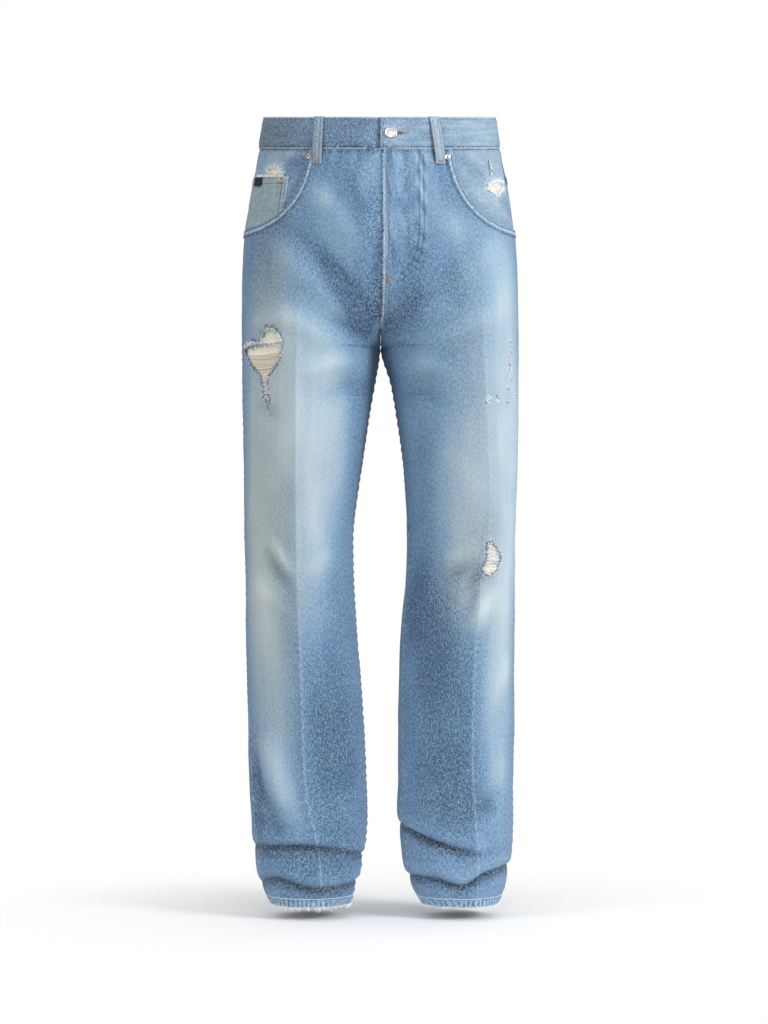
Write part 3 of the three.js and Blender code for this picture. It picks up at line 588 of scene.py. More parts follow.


# (distance from the middle plane, height, half width, half height, lean, wear). Wear below 0 is darker
# cloth: dye that stayed, and painted shade in the entries marked so. The lean is in degrees, its foot
# towards the inner edge.
BACK_WASH = [
    (0.090, -0.210, 0.075, 0.085, 0, 0.34),
    (0.105, -0.430, 0.065, 0.140, 0, 0.40),
    (0.105, -0.610, 0.070, 0.050, 0, -0.12),
    (0.105, -0.800, 0.045, 0.130, 0, 0.26),
]
WASH_AND_SHADE = {
    (RIGHT, FRONT): [
        (0.154, -0.430, 0.054, 0.250, 0, 0.46),  # the outer half of the thigh
        (0.146, -0.735, 0.040, 0.165, 6, 0.37),  # and of the shin
        (0.120, -0.350, 0.020, 0.110, 0, 0.16),  # beside the crease
        (0.074, -0.410, 0.042, 0.160, 0, 0.54),  # the inner thigh
        (0.094, -0.590, 0.026, 0.100, 0, 0.30),  # the knee
        (0.105, -0.275, 0.032, 0.042, 0, 0.12),
        (0.060, -0.128, 0.022, 0.060, 27, 0.22),  # a pale streak down the front of the hip
        (0.080, -0.085, 0.020, 0.022, 0, 0.20),
        (0.160, -0.180, 0.030, 0.060, 0, -0.18),
        (0.146, -0.232, 0.026, 0.024, 0, -0.10),
        (0.018, -0.055, 0.010, 0.030, 0, 0.18),
        (0.034, -0.085, 0.008, 0.035, 25, -0.14),
        (0.044, -0.225, 0.017, 0.055, 35, -0.52),  # painted shade in the valley of the drag line into the crotch
        (0.128, -0.125, 0.018, 0.024, 20, -0.08),
        (0.003, -0.130, 0.006, 0.140, 0, -0.30),  # painted shadow beside the front opening, under the left front's lapped edge
        (0.064, -0.840, 0.046, 0.120, 0, -0.26),
        (0.122, -0.880, 0.020, 0.055, 0, 0.16),  # the inner shin keeps its dye
        (0.090, -0.975, 0.070, 0.045, 0, -0.20),
        (0.170, -0.900, 0.014, 0.050, 0, -0.35),
    ],
    (LEFT, FRONT): [
        (0.172, -0.430, 0.058, 0.270, 0, 0.54),
        (0.102, -0.480, 0.038, 0.115, 0, 0.34),
        (0.040, -0.400, 0.016, 0.070, 0, 0.08),
        (0.155, -0.760, 0.030, 0.170, 0, 0.32),
        (0.158, -0.860, 0.016, 0.040, 0, 0.14),
        (0.120, -0.630, 0.020, 0.042, 0, 0.40),
        (0.050, -0.630, 0.030, 0.060, 0, -0.32),
        (0.084, -0.790, 0.048, 0.150, 0, -0.16),
        (0.092, -0.880, 0.040, 0.060, 0, -0.20),
        (0.165, -0.200, 0.036, 0.070, 0, 0.15),
        (0.020, -0.140, 0.014, 0.070, 0, 0.16),
        (0.060, -0.345, 0.030, 0.060, 0, 0.12),
        (0.062, -0.080, 0.018, 0.045, 0, 0.16),
        (0.018, -0.060, 0.011, 0.040, 0, 0.15),
        (0.098, -0.132, 0.024, 0.028, 0, 0.26),
        (0.036, -0.185, 0.028, 0.048, 10, -0.20),
        (0.026, -0.100, 0.010, 0.012, 0, -0.12),
        (0.098, -0.212, 0.018, 0.030, 0, -0.16),
        (0.030, -0.245, 0.030, 0.030, 30, -0.10),
        (0.075, -0.700, 0.032, 0.080, 0, -0.16),
        (0.127, -0.596, 0.008, 0.024, 30, -0.36),  # painted shade in the hollow under the knee's rip
        # painted shade in the hollow of a fold above the hem
        (0.108, -0.900, 0.022, 0.020, 20, -0.16),
        (0.144, -0.905, 0.012, 0.014, -30, -0.14),
    ],
    (RIGHT, BACK): BACK_WASH + [(0.180, -0.880, 0.030, 0.140, 0, -0.12)],
    (LEFT, BACK): BACK_WASH + [(0.026, -0.740, 0.030, 0.260, 0, -0.06)],
}
# The same, for where the bared cloth is greyish green
SAGE_WASH = {
    (RIGHT, FRONT): [(0.152, -0.500, 0.048, 0.270, 0, 0.80), (0.150, -0.220, 0.04, 0.08, 0, 0.30)],
    (RIGHT, BACK): [(0.180, -0.500, 0.040, 0.260, 0, 0.50)],
    (LEFT, FRONT): [(0.125, -0.380, 0.034, 0.200, 0, 0.34), (0.118, -0.590, 0.040, 0.080, 0, 0.50)],
    (LEFT, BACK): [],
}
BASE_WEAR = {RIGHT: 0.24, LEFT: 0.28}


def patches(side, face, table, along, height):
    """Soft patches laid on a panel, added up."""
    total = np.zeros(np.shape(along))
    for x, z, wide, high, lean, amount in table:
        centre = to_along(side, face, [(x, z)])[0]
        dx, dz = along - centre[0], height - centre[1]
        turn = math.radians(lean)
        u = dx * math.cos(turn) + dz * math.sin(turn)
        v = dz * math.cos(turn) - dx * math.sin(turn)
        total += amount * np.exp(-(np.hypot(u / wide, v / high) ** 3))
    return total


def fold_shade(side, face, share, height):
    """Darker cloth in the tucks under the hem's folds and paler cloth on their lips: partly dye that stayed
    and was rubbed off, partly painted shade in the tucks and painted light on the lips.
    """
    _, _, out_x, out_y = form_at(side, face, share, height)
    round_leg = np.degrees(np.arctan2(-out_x, -out_y))
    shade = np.zeros(np.shape(height))
    for fold_height, fold_swell in LEGS[side].folds:
        above = height - fold_height(round_leg)
        size = fold_swell(round_leg) / 0.008
        # Painted shade in the tuck just under each fold line, and painted light on the lip above it.
        shade -= 0.80 * size * bell(above + 0.0028, 0.0036)
        shade -= 0.22 * size * bell(above + 0.0070, 0.0080)
        shade += 0.12 * size * bell(above - 0.010, 0.008)
    return shade


def hem_rope(along):
    """The slanting ridges of a hem that has shrunk along its stitches, from 0 to 1."""
    return 0.5 + 0.5 * np.sin(along / 0.0062 * 2 * np.pi + 3 * wavy(along, along * 0, (0.02, 1), 8.0))


def wash_and_shade(side, face, share, height):
    """The dye left at each place, with painted shade and light in its folds, wrinkles and grooves, as a
    linear colour.
    """
    share, height = np.broadcast_arrays(np.asarray(share, float), np.asarray(height, float))
    panel = PANELS[side, face]
    at = panel.along(share, height)
    level = BASE_WEAR[side] + patches(side, face, WASH_AND_SHADE[side, face], at, height)
    # The wrinkles' ridges are paler and their troughs darker, partly rubbed wear and partly painted shade;
    # the hem's folds add painted shade and light.
    folds = fold_shade(side, face, share, height)
    level += 58 * wrinkles(side, face, at, height) + folds
    # Between the hem's stitches and its edge the cloth is roped.
    low = height - HEM
    level -= 0.34 * (1 - hem_rope(at)) * bell(low - 0.0060, 0.0045)
    seed = 31.0 + side + face
    level += 0.035 * wavy(at, height, (0.0035, 0.090), seed)
    level += 0.030 * wavy(at, height, (0.014, 0.26), seed + 1)
    level += 0.035 * wavy(at, height, (0.030, 0.040), seed + 2)
    # Under the band the gathers' ridges are paler and their valleys darker, partly rubbed wear and partly
    # painted shade; right under the band's foot runs a line of painted shadow.
    below = BAND_FOOT - height
    level += 0.30 * np.exp(-below / 0.032) * gathers(side, face, at, height)
    level -= 0.40 * bell(below, 0.0026)
    if (side, face) == (LEFT, FRONT):
        from_edge = panel.inner_length(height) - at
        fly = smooth((0.058 - from_edge) / 0.006) * smooth((height + 0.215) / 0.03)
        level += 0.24 * fly * wavy(at, height, (0.0042, 0.045), 37.0)
        # Along the fly's curved rows the cloth is painted darker, painted shade standing in for their
        # grooves, beside a rubbed pale ridge.
        for inset in FLY_ROWS:
            gap = line_distance(shifted(FLY_FLAT, inset), at, height)[0]
            level += 0.16 * bell(gap - 0.0022, 0.0014) - 0.30 * bell(gap, 0.0011)
        # The same by the front opening's edge: a line of painted shade along its stitches and a rubbed pale
        # strip.
        level -= 0.30 * bell(from_edge - 0.0075, 0.0010) * (height > FLY_FOOT)
        level += 0.22 * bell(from_edge - 0.0050, 0.0018) * (height > FLY_FOOT)
    colour = dyed(level)
    sage = np.clip(patches(side, face, SAGE_WASH[side, face], at, height), 0, 1)[..., None]
    light = colour.mean(axis=-1, keepdims=True) / linear(SAGE).mean()
    colour = colour + (linear(SAGE) * light - colour) * sage
    # Painted shade: the hem folds' tucks are darkened once more, standing in for their shadow.
    return colour * (1 + 0.88 * np.clip(folds, -0.85, 0))[..., None]


# ---- Materials ----


def put(tree, socket, value):
    """Links an input to another node's output, or gives it a plain value."""
    if hasattr(value, "is_linked"):
        tree.links.new(value, socket)
    else:
        socket.default_value = value


def settle(tree, made, **values):
    """Gives a node its settings and inputs."""
    for key, value in values.items():
        if hasattr(made, key):
            setattr(made, key, value)
        else:
            put(tree, made.inputs[key.replace("_", " ")], value)
    return made


def node(tree, kind, **values):
    return settle(tree, tree.nodes.new(kind), **values)


def math_node(tree, operation, *values, clamp=False):
    made = node(tree, "ShaderNodeMath", operation=operation, use_clamp=clamp)
    for socket, value in zip(made.inputs, values):
        put(tree, socket, value)
    return made.outputs[0]


def ramp_of(tree, value, start, end, **values):
    """Rises from 0 to 1 while the value goes from start to end."""
    return node(tree, "ShaderNodeMapRange", Value=value, From_Min=start, From_Max=end, **values).outputs[0]


def tinted(tree, amount, a, b, **values):
    """Two colours mixed."""
    made = node(tree, "ShaderNodeMix", data_type="RGBA", Factor=amount, A=a, B=b, **values)
    return made.outputs["Result"]


def solid_colour(colour):
    return (*linear(colour), 1)


def new_look(name, **values):
    """A material, its nodes and its shader."""
    material = bpy.data.materials.new(name)
    material.use_nodes = True
    tree = material.node_tree
    return material, tree, settle(tree, tree.nodes["Principled BSDF"], **values)


def weave_group():
    """Washed twill: pale flecks, slubs along the warp and the height of its ribs."""
    tree = bpy.data.node_groups.new("washed twill", "ShaderNodeTree")
    for name in ("Fleck", "Pore", "Height"):
        tree.interface.new_socket(name, in_out="OUTPUT", socket_type="NodeSocketFloat")
    ends = tree.nodes.new("NodeGroupOutput")
    uv = node(tree, "ShaderNodeUVMap", uv_map="cloth").outputs[0]

    def grain(across, along, detail, roughness):
        scaled = node(tree, "ShaderNodeMapping", Scale=(across, along, 1), Vector=uv).outputs[0]
        noise = {"Vector": scaled, "Scale": 1.0, "Detail": detail, "Roughness": roughness}
        return node(tree, "ShaderNodeTexNoise", noise_dimensions="2D", **noise).outputs["Fac"]

    def weighed(value, weight):
        return math_node(tree, "MULTIPLY", value, weight)

    speck = weighed(grain(640, 520, 2.0, 0.6), 0.48)
    slub = weighed(grain(820, 190, 2.0, 0.55), 0.30)
    clump = weighed(grain(260, 210, 2.0, 0.6), 0.22)
    cloud = grain(38, 26, 3.0, 0.6)
    mixed = math_node(tree, "ADD", math_node(tree, "ADD", speck, slub), clump)
    fleck = ramp_of(tree, mixed, 0.42, 0.68, interpolation_type="SMOOTHSTEP")
    pore = ramp_of(tree, mixed, 0.56, 0.34, interpolation_type="SMOOTHSTEP")
    spots = math_node(tree, "MULTIPLY", fleck, math_node(tree, "ADD", cloud, 0.45), clamp=True)
    # Twill ribs climb across the cloth.
    ribs = node(tree, "ShaderNodeMapping", Rotation=(0, 0, math.radians(28)), Vector=uv).outputs[0]
    bands = node(tree, "ShaderNodeTexWave", Scale=260.0, Distortion=0.6, Detail=1.0, Vector=ribs)
    height = math_node(tree, "ADD", weighed(mixed, 0.8), weighed(bands.outputs["Fac"], 0.25))
    settle(tree, ends, Fleck=spots, Pore=pore, Height=height)
    return tree


TWILL = weave_group()


def denim(name, flecks=0.37, pores=0.50, tint=None, bump=0.30):
    """Washed denim: its dye, with painted shade and light, comes from the cloth's own colour attribute."""
    sheen = {"Sheen_Weight": 0.12, "Sheen_Roughness": 0.5}
    material, tree, shader = new_look(name, Roughness=0.88, Specular_IOR_Level=0.25, **sheen)
    twill = node(tree, "ShaderNodeGroup", node_tree=TWILL)
    wear = node(tree, "ShaderNodeAttribute", attribute_name="wear").outputs["Fac"]
    if tint is None:
        dye_and_shade = node(tree, "ShaderNodeAttribute", attribute_name="dye_and_shade").outputs["Color"]
        grey = node(tree, "ShaderNodeRGBToBW", Color=dye_and_shade).outputs[0]
    else:
        dye_and_shade, grey = solid_colour(tint), float(linear(tint).mean())
    # Flecks and pores stand out on dark cloth and are lost on bleached cloth.
    contrast = ramp_of(tree, grey, 0.16, 0.62, To_Min=1.0, To_Max=0.22)
    # Pale weft shows in flecks, and more where the cloth is rubbed.
    fleck = math_node(tree, "MULTIPLY", twill.outputs["Fleck"], contrast)
    rubbed = math_node(tree, "MULTIPLY_ADD", twill.outputs["Fleck"], 0.45, 0.62)
    rubbed = math_node(tree, "MULTIPLY", wear, rubbed)
    amount = math_node(tree, "ADD", math_node(tree, "MULTIPLY", fleck, flecks), rubbed, clamp=True)
    pale = tinted(tree, amount, dye_and_shade, solid_colour((200, 219, 235)))
    pore = math_node(tree, "MULTIPLY", twill.outputs["Pore"], contrast)
    pore = math_node(tree, "MULTIPLY", pore, pores)
    deep = tinted(tree, pore, pale, solid_colour((120, 146, 172)), blend_type="MULTIPLY")
    raised = node(tree, "ShaderNodeBump", Strength=bump, Distance=0.0012, Height=twill.outputs["Height"])
    settle(tree, shader, Base_Color=deep, Normal=raised.outputs[0])
    return material


def plain_cloth(name, colour, roughness=0.9):
    material, tree, shader = new_look(name, Roughness=roughness)
    where = node(tree, "ShaderNodeTexCoord").outputs["Object"]
    mottle = node(tree, "ShaderNodeTexNoise", Scale=700.0, Detail=2.0, Vector=where).outputs["Fac"]
    ramp = node(tree, "ShaderNodeValToRGB", Fac=mottle)
    dark, light = ramp.color_ramp.elements
    dark.position, light.position = 0.3, 0.7
    dark.color = (*(linear(colour) * 0.84), 1)
    light.color = (*np.minimum(linear(colour) * 1.08, 1), 1)
    raised = node(tree, "ShaderNodeBump", Strength=0.4, Distance=0.0004, Height=mottle)
    settle(tree, shader, Base_Color=ramp.outputs["Color"], Normal=raised.outputs[0])
    return material


def dyed_cloth(name):
    """Fine plain-woven cotton in the colour stored on the piece, painted shade included."""
    material, tree, shader = new_look(name, Roughness=0.92)
    dye_and_shade = node(tree, "ShaderNodeAttribute", attribute_name="dye_and_shade").outputs["Color"]
    uv = node(tree, "ShaderNodeUVMap", uv_map="cloth").outputs[0]
    weave = node(tree, "ShaderNodeTexNoise", Scale=900.0, Detail=2.0, Vector=uv).outputs["Fac"]
    shade = tinted(tree, weave, dye_and_shade, (0.93, 0.93, 0.92, 1), blend_type="MULTIPLY")
    raised = node(tree, "ShaderNodeBump", Strength=0.4, Distance=0.0004, Height=weave)
    settle(tree, shader, Base_Color=shade, Normal=raised.outputs[0])
    return material


def metal(name, bright, dull, roughness):
    """Plated metal, rubbed and a little tarnished."""
    material, tree, shader = new_look(name, Metallic=1.0)
    where = node(tree, "ShaderNodeTexCoord").outputs["Object"]
    stain = node(tree, "ShaderNodeTexNoise", Scale=420.0, Detail=3.0, Vector=where).outputs["Fac"]
    spread = ramp_of(tree, stain, 0.42, 0.68)
    mix = tinted(tree, spread, solid_colour(bright), solid_colour(dull))
    rough = ramp_of(tree, stain, 0.0, 1.0, To_Min=roughness, To_Max=roughness + 0.25)
    settle(tree, shader, Base_Color=mix, Roughness=rough)
    return material


OUTSIDE = denim("washed denim")
INSIDE = denim("denim wrong side", tint=(150, 170, 190), flecks=0.6, pores=0.4)
THREAD = plain_cloth("blue-grey thread", (84, 104, 132))
TAN_THREAD = plain_cloth("tan thread", (168, 138, 112))
WHITE_THREAD = plain_cloth("loose white weft", (250, 248, 244))
BLUE_THREAD = plain_cloth("loose blue warp", (98, 134, 168))
DARK_THREAD = plain_cloth("unfaded blue warp", (56, 76, 98))
ECRU_THREAD = plain_cloth("unbleached weft", (226, 214, 190))
BACKING = dyed_cloth("pale pocket cloth")
BLACK_TAPE = plain_cloth("plain black tape", (30, 32, 40))
SILVER = metal("bright silver plate", (226, 224, 224), (190, 182, 180), 0.20)
COPPER = metal("worn coppery plate", (196, 178, 164), (120, 92, 76), 0.28)

# ---- Making pieces ----


def stops(start, end, step):
    """Even stops from start to end, no further apart than step."""
    count = max(1, math.ceil(abs(end - start) / step - 1e-6))
    return list(np.linspace(start, end, count + 1))


def merged(*lists, gap):
    """Several lists of stops as one, in order, with none closer than gap."""
    kept = []
    for stop in sorted(s for group in lists for s in group):
        if not kept or stop - kept[-1] > gap:
            kept.append(stop)
    return np.array(kept)


def finish_piece(obj, slot, *replaced):
    for polygon in obj.data.polygons:
        polygon.use_smooth = True
    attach(obj, "root")
    if replaced:
        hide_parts(*replaced)
    return obj


def new_object(name, mesh, *materials):
    obj = bpy.data.objects.new(name, mesh)
    bpy.context.scene.collection.objects.link(obj)
    for material in materials:
        mesh.materials.append(material)
    return obj


def cut_of(obj, held, *rests_on):
    """Works out a piece's extent and area laid flat, and hands the piece back."""
    mesh = obj.data
    flat = np.empty(len(mesh.loops) * 2, np.float32)
    mesh.uv_layers["cloth"].data.foreach_get("uv", flat)
    flat = flat.reshape(-1, 2).astype(float)
    wide, long = flat.max(axis=0) - flat.min(axis=0)
    area = 0.0
    for polygon in mesh.polygons:
        corners = flat[polygon.loop_start : polygon.loop_start + polygon.loop_total]
        after = np.roll(corners, -1, axis=0)
        area += abs(np.sum(corners[:, 0] * after[:, 1] - corners[:, 1] * after[:, 0])) / 2
    area = min(max(area, 0.301 * wide * long), wide * long)
    return obj


def inside_outline(outline, u, v):
    """Which places lie inside a closed outline."""
    inside = np.zeros(u.shape, bool)
    for (ax, ay), (bx, by) in zip(outline, np.roll(outline, -1, axis=0)):
        crosses = (ay > v) != (by > v)
        slope = np.where(by == ay, 1e-12, by - ay)
        inside ^= crosses & (u < (bx - ax) * (v - ay) / slope + ax)
    return inside


def nearest_on(outline, u, v):
    """The nearest point of a closed outline to each place."""
    best = np.full(u.shape, 1e9)
    at_u, at_v = u.copy(), v.copy()
    for a, b in zip(outline, np.roll(outline, -1, axis=0)):
        span = math.hypot(*(b - a)) or 1e-9
        way = (b - a) / span
        t = np.clip((u - a[0]) * way[0] + (v - a[1]) * way[1], 0, span)
        pu, pv = a[0] + way[0] * t, a[1] + way[1] * t
        gap = np.hypot(u - pu, v - pv)
        nearer = gap < best
        best = np.where(nearer, gap, best)
        at_u, at_v = np.where(nearer, pu, at_u), np.where(nearer, pv, at_v)
    return at_u, at_v, best


def grid_piece(name, columns, rows, place, cuts=(), keep=(), uv=None):
    """A sheet on a grid of stops. place(u, v) gives its points, and cuts are outlines in (u, v)
    measured by uv(u, v) that are taken out of it; keep are outlines that it is cut down to."""
    wide, high = len(columns), len(rows)
    bm = bmesh.new()
    bmesh.ops.create_grid(bm, x_segments=wide - 1, y_segments=high - 1, size=1)
    bm.verts.ensure_lookup_table()
    mark = bm.verts.layers.int.new("stop")
    for i, vert in enumerate(bm.verts):
        vert[mark] = i
    u, v = np.meshgrid(np.asarray(columns, float), np.asarray(rows, float))
    u, v = u.ravel().copy(), v.ravel().copy()
    flat_u, flat_v = (u, v) if uv is None else uv.flatten(u, v)
    for outline, wanted in [(o, False) for o in cuts] + [(o, True) for o in keep]:
        inside = inside_outline(outline, flat_u, flat_v)
        gone = []
        edge = set()
        for face in bm.faces:
            marks = [vert[mark] for vert in face.verts]
            hits = sum(inside[m] for m in marks)
            drop = hits > len(marks) / 2 if not wanted else hits < len(marks) / 2
            if drop:
                gone.append(face)
        for face in gone:
            edge.update(vert[mark] for vert in face.verts)
        bmesh.ops.delete(bm, geom=gone, context="FACES")
        left = {vert[mark] for vert in bm.verts if vert.link_faces}
        edge = np.array(sorted(edge & left), int)
        if len(edge):
            near_u, near_v, _ = nearest_on(outline, flat_u[edge], flat_v[edge])
            flat_u[edge], flat_v[edge] = near_u, near_v
            if uv is not None:
                u[edge], v[edge] = uv.unflatten(near_u, near_v)
            else:
                u[edge], v[edge] = near_u, near_v
    mesh = bpy.data.meshes.new(name)
    bm.to_mesh(mesh)
    bm.free()
    order = np.empty(len(mesh.vertices), int)
    mesh.attributes["stop"].data.foreach_get("value", order)
    mesh.attributes.remove(mesh.attributes["stop"])
    u, v = u[order], v[order]
    flat_u, flat_v = flat_u[order], flat_v[order]
    points = place(u, v)
    mesh.vertices.foreach_set("co", points.astype(np.float32).ravel())
    layer = mesh.uv_layers.new(name="cloth")
    corner = np.empty(len(mesh.loops), int)
    mesh.loops.foreach_get("vertex_index", corner)
    layer.data.foreach_set("uv", np.column_stack([flat_u, flat_v])[corner].astype(np.float32).ravel())
    return mesh, u, v


class OnPanel:
    """Turns a panel's (share, height) into flat (along, height) and back."""

    def __init__(self, side, face):
        self.panel = PANELS[side, face]

    def flatten(self, share, height):
        return self.panel.along(share, height), height.copy()

    def unflatten(self, along, height):
        return self.panel.share_at(along, height), height


def paint(mesh, colours, wear):
    """Stores the dye, with its painted shade and light, and the wear of each vertex."""
    dye_and_shade = mesh.attributes.new("dye_and_shade", "FLOAT_COLOR", "POINT")
    rgba = np.column_stack([np.clip(colours, 0, 1), np.ones(len(colours))])
    dye_and_shade.data.foreach_set("color", rgba.astype(np.float32).ravel())
    rub = mesh.attributes.new("wear", "FLOAT", "POINT")
    rub.data.foreach_set("value", np.clip(wear, 0, 1).astype(np.float32))


def all_over(places, colour):
    """One colour for every place."""
    return np.zeros(np.shape(places) + (3,)) + linear(colour)


def face_outwards(mesh, face):
    """Turns the sheet over if its faces look into the garment."""
    count = len(mesh.polygons)
    normals, areas = np.empty(count * 3, np.float32), np.empty(count, np.float32)
    mesh.polygons.foreach_get("normal", normals)
    mesh.polygons.foreach_get("area", areas)
    if np.sum(normals[1::3] * areas) * face < 0:
        mesh.flip_normals()


def thicken(obj, thickness, inner_material=1):
    solid = obj.modifiers.new("thickness", "SOLIDIFY")
    solid.thickness = thickness
    solid.offset = -1
    solid.use_even_offset = False
    solid.use_rim = True
    solid.material_offset = inner_material
    return solid


def sewn(mesh, face, thickness, slot, stands_for, held, rests_on, inner=1, materials=None):
    """A finished piece of cloth from its outer sheet."""
    face_outwards(mesh, face)
    piece = new_object(mesh.name, mesh, *(materials or (OUTSIDE, INSIDE)))
    thicken(piece, thickness, inner)
    return cut_of(finish_piece(piece, slot, stands_for), held, rests_on)


# ---- Rips ----


def ragged(points, step, amount, seed):
    """An outline with its sides broken up as torn cloth is."""
    points = np.asarray(points, float)
    made = []
    for i, (a, b) in enumerate(zip(points, np.roll(points, -1, axis=0))):
        count = max(1, int(math.hypot(*(b - a)) / step))
        way = (b - a) / (math.hypot(*(b - a)) or 1)
        for k in range(count):
            at = a + (b - a) * k / count
            jump = float(wavy(i * 3.7 + k * 1.9, seed, (1, 1), 0.5)) * amount
            made.append(at + np.array([-way[1], way[0]]) * jump)
    return np.array(made)


THIGH_RIP = [
    (0.1422, -0.2683), (0.1369, -0.2709), (0.1316, -0.2775), (0.1290, -0.2881), (0.1284, -0.3000),
    (0.1316, -0.3106), (0.1369, -0.3212), (0.1462, -0.3291), (0.1489, -0.3424), (0.1462, -0.3569),
    (0.1465, -0.3690), (0.1515, -0.3701), (0.1542, -0.3569), (0.1568, -0.3410), (0.1594, -0.3291),
    (0.1687, -0.3198), (0.1753, -0.3092), (0.1799, -0.3000), (0.1813, -0.2907), (0.1766, -0.2874),
    (0.1700, -0.2841), (0.1621, -0.2861), (0.1568, -0.2821), (0.1542, -0.2736), (0.1489, -0.2688),
]
KNEE_RIP = [
    (0.1430, -0.5500), (0.1377, -0.5530), (0.1382, -0.5708), (0.1345, -0.5831), (0.1320, -0.5874),
    (0.1330, -0.5919), (0.1409, -0.5954), (0.1471, -0.5927), (0.1524, -0.5884), (0.1577, -0.5751),
    (0.1585, -0.5689), (0.1532, -0.5610), (0.1471, -0.5549),
]
LEFT_POCKET_RIP = [
    (0.1443, -0.0695), (0.1483, -0.0655), (0.1563, -0.0642), (0.1656, -0.0655), (0.1663, -0.0748),
    (0.1603, -0.0815), (0.1563, -0.0868), (0.1510, -0.0815), (0.1430, -0.0775),
]
LEFT_POCKET_SLIT = [
    (0.1462, -0.0360), (0.1482, -0.0430), (0.1502, -0.0525), (0.1482, -0.0560), (0.1466, -0.0460),
]
RIGHT_POCKET_RIP = [
    (0.1530, -0.0500), (0.1470, -0.0440), (0.1390, -0.0425), (0.1325, -0.0470), (0.1310, -0.0530),
    (0.1380, -0.0565), (0.1480, -0.0565),
]
RIPS = {
    (RIGHT, FRONT): ragged(to_along(RIGHT, FRONT, THIGH_RIP), 0.003, 0.0022, 1.0),
    (LEFT, FRONT): ragged(to_along(LEFT, FRONT, KNEE_RIP), 0.003, 0.0020, 2.0),
}

# ---- Front and back panels ----

MOUTH = [(0.095, -0.028), (0.104, -0.090), (0.137, -0.133), (0.192, -0.132)]
SIDE_NAMES = {RIGHT: "right", LEFT: "left"}


def mouth_line(side, count=48):
    """The scooped mouth of a front pocket as (along, height), from the band to the outseam."""
    a, b, c, d = (np.array(p) for p in MOUTH)
    t = np.linspace(0, 1, count)[:, None]
    points = a * (1 - t) ** 3 + 3 * b * t * (1 - t) ** 2 + 3 * c * t * t * (1 - t) + d * t**3
    panel = PANELS[side, FRONT]
    widest = panel.read(panel.reach, np.zeros(count), points[:, 1])
    flat = to_along(side, FRONT, np.column_stack([np.minimum(points[:, 0], widest), points[:, 1]]))
    flat[:, 0] -= np.maximum(points[:, 0] - widest, 0) * 2
    return flat


def mouth_outline(side):
    line = mouth_line(side)
    first = line[0] + (line[0] - line[1]) / np.linalg.norm(line[0] - line[1]) * 0.030
    return np.vstack([line, [(-0.40, line[-1][1]), (-0.40, 0.10), (first[0], 0.10), first]])


FLY_EDGE = 0.0042  # how far the left front's edge lies past the middle
FLY_FOOT = -0.268  # the overlap ends here
FLY_RISE = 0.0021
UNDERLAP = 0.15  # the right front runs on under the left one by this share


def fly_share(side, share, height):
    """Shares moved near the front opening, so that the left front overlaps the right one."""
    held = smooth((height - FLY_FOOT) / 0.020)
    near = smooth((share - 1.80) / 0.20)
    if side == RIGHT:
        return share + UNDERLAP * near * held
    panel = PANELS[LEFT, FRONT]
    back_off = FLY_EDGE / panel.inner_length(height)
    return share - back_off * near * held


def fly_lift(side, share, height):
    """How far the left front stands off over the right one."""
    if side == RIGHT:
        return np.zeros(np.shape(share))
    held = smooth((height - FLY_FOOT) / 0.030)
    panel = PANELS[LEFT, FRONT]
    to_in = (2 - share) * panel.inner_length(height)
    waves = 0.0006 * wavy(to_in, height, (0.012, 0.034), 31.0)
    return held * (FLY_RISE + waves) * smooth((0.030 - to_in) / 0.016)


def panel_columns(extra=()):
    fine = [0.0, 0.012, 0.026, 0.045, 0.070]
    middle = [1 + k * s for k in (-1, 1) for s in (0, 0.012, 0.026, 0.045, 0.070)]
    ends = [2 - s for s in fine]
    return merged(fine, middle, ends, stops(0.1, 1.9, 0.040), extra, gap=0.009)


def panel_rows(top, extra=()):
    return merged(stops(-0.925, HEM, 0.0020), stops(top, -0.925, 0.0040), extra, gap=0.0008)


# Rubbed spots on the left thigh: (distance from the middle plane, height, radius)
SPOTS = [
    (0.1735, -0.283, 0.0032), (0.1735, -0.299, 0.0036), (0.1700, -0.309, 0.0030),
    (0.1725, -0.317, 0.0052), (0.1712, -0.324, 0.0050), (0.1740, -0.334, 0.0040),
    (0.1690, -0.348, 0.0042), (0.1675, -0.363, 0.0050), (0.1810, -0.357, 0.0042),
    (0.1405, -0.363, 0.0056), (0.1535, -0.362, 0.0042),
]


def wear_of(side, face, share, height, cuts):
    """Where the cloth is rubbed pale: the crease, the seams' ridges and the torn edges; in the tucks of the
    hem's folds the rubbing is held back as painted shade.
    """
    panel = PANELS[side, face]
    along = panel.along(share, height)
    on_leg = smooth((CROTCH + 0.07 - height) / 0.10)
    crease = bell(along, 0.0014) * on_leg * (0.24 if face == FRONT else 0.16)
    to_out = along + panel.crease_length(height)
    to_in = panel.inner_length(height) - along
    beat = 0.5 + 0.7 * wavy(along * 0, height, (1, 0.006), 5.0 + side)
    seam = 0.45 * bell(to_in - 0.0015, 0.0025) + 0.35 * bell(to_out, 0.005)
    # painted shade: less rubbing shows in the hem folds' tucks
    folded = np.clip(fold_shade(side, face, share, height), -0.4, 0)
    worn = crease + seam * beat * (height < CROTCH) + 0.9 * folded
    for outline in cuts:
        gap = nearest_on(outline, along, height)[2]
        worn += 0.60 * bell(gap, 0.0030)
    low = height - HEM
    worn += 0.45 * bell(low, 0.0022)
    worn += 0.60 * hem_rope(along) * bell(low - 0.0060, 0.0045)
    if (side, face) == (LEFT, FRONT):
        for x, z, radius in SPOTS:
            at = to_along(side, face, [(x, z)])[0]
            gap = np.hypot(along - at[0], height - at[1])
            worn += 0.95 * bell(gap, radius * 0.75)
        worn += 0.85 * bell(2 - share, 0.014) * (height > FLY_FOOT)
    return worn


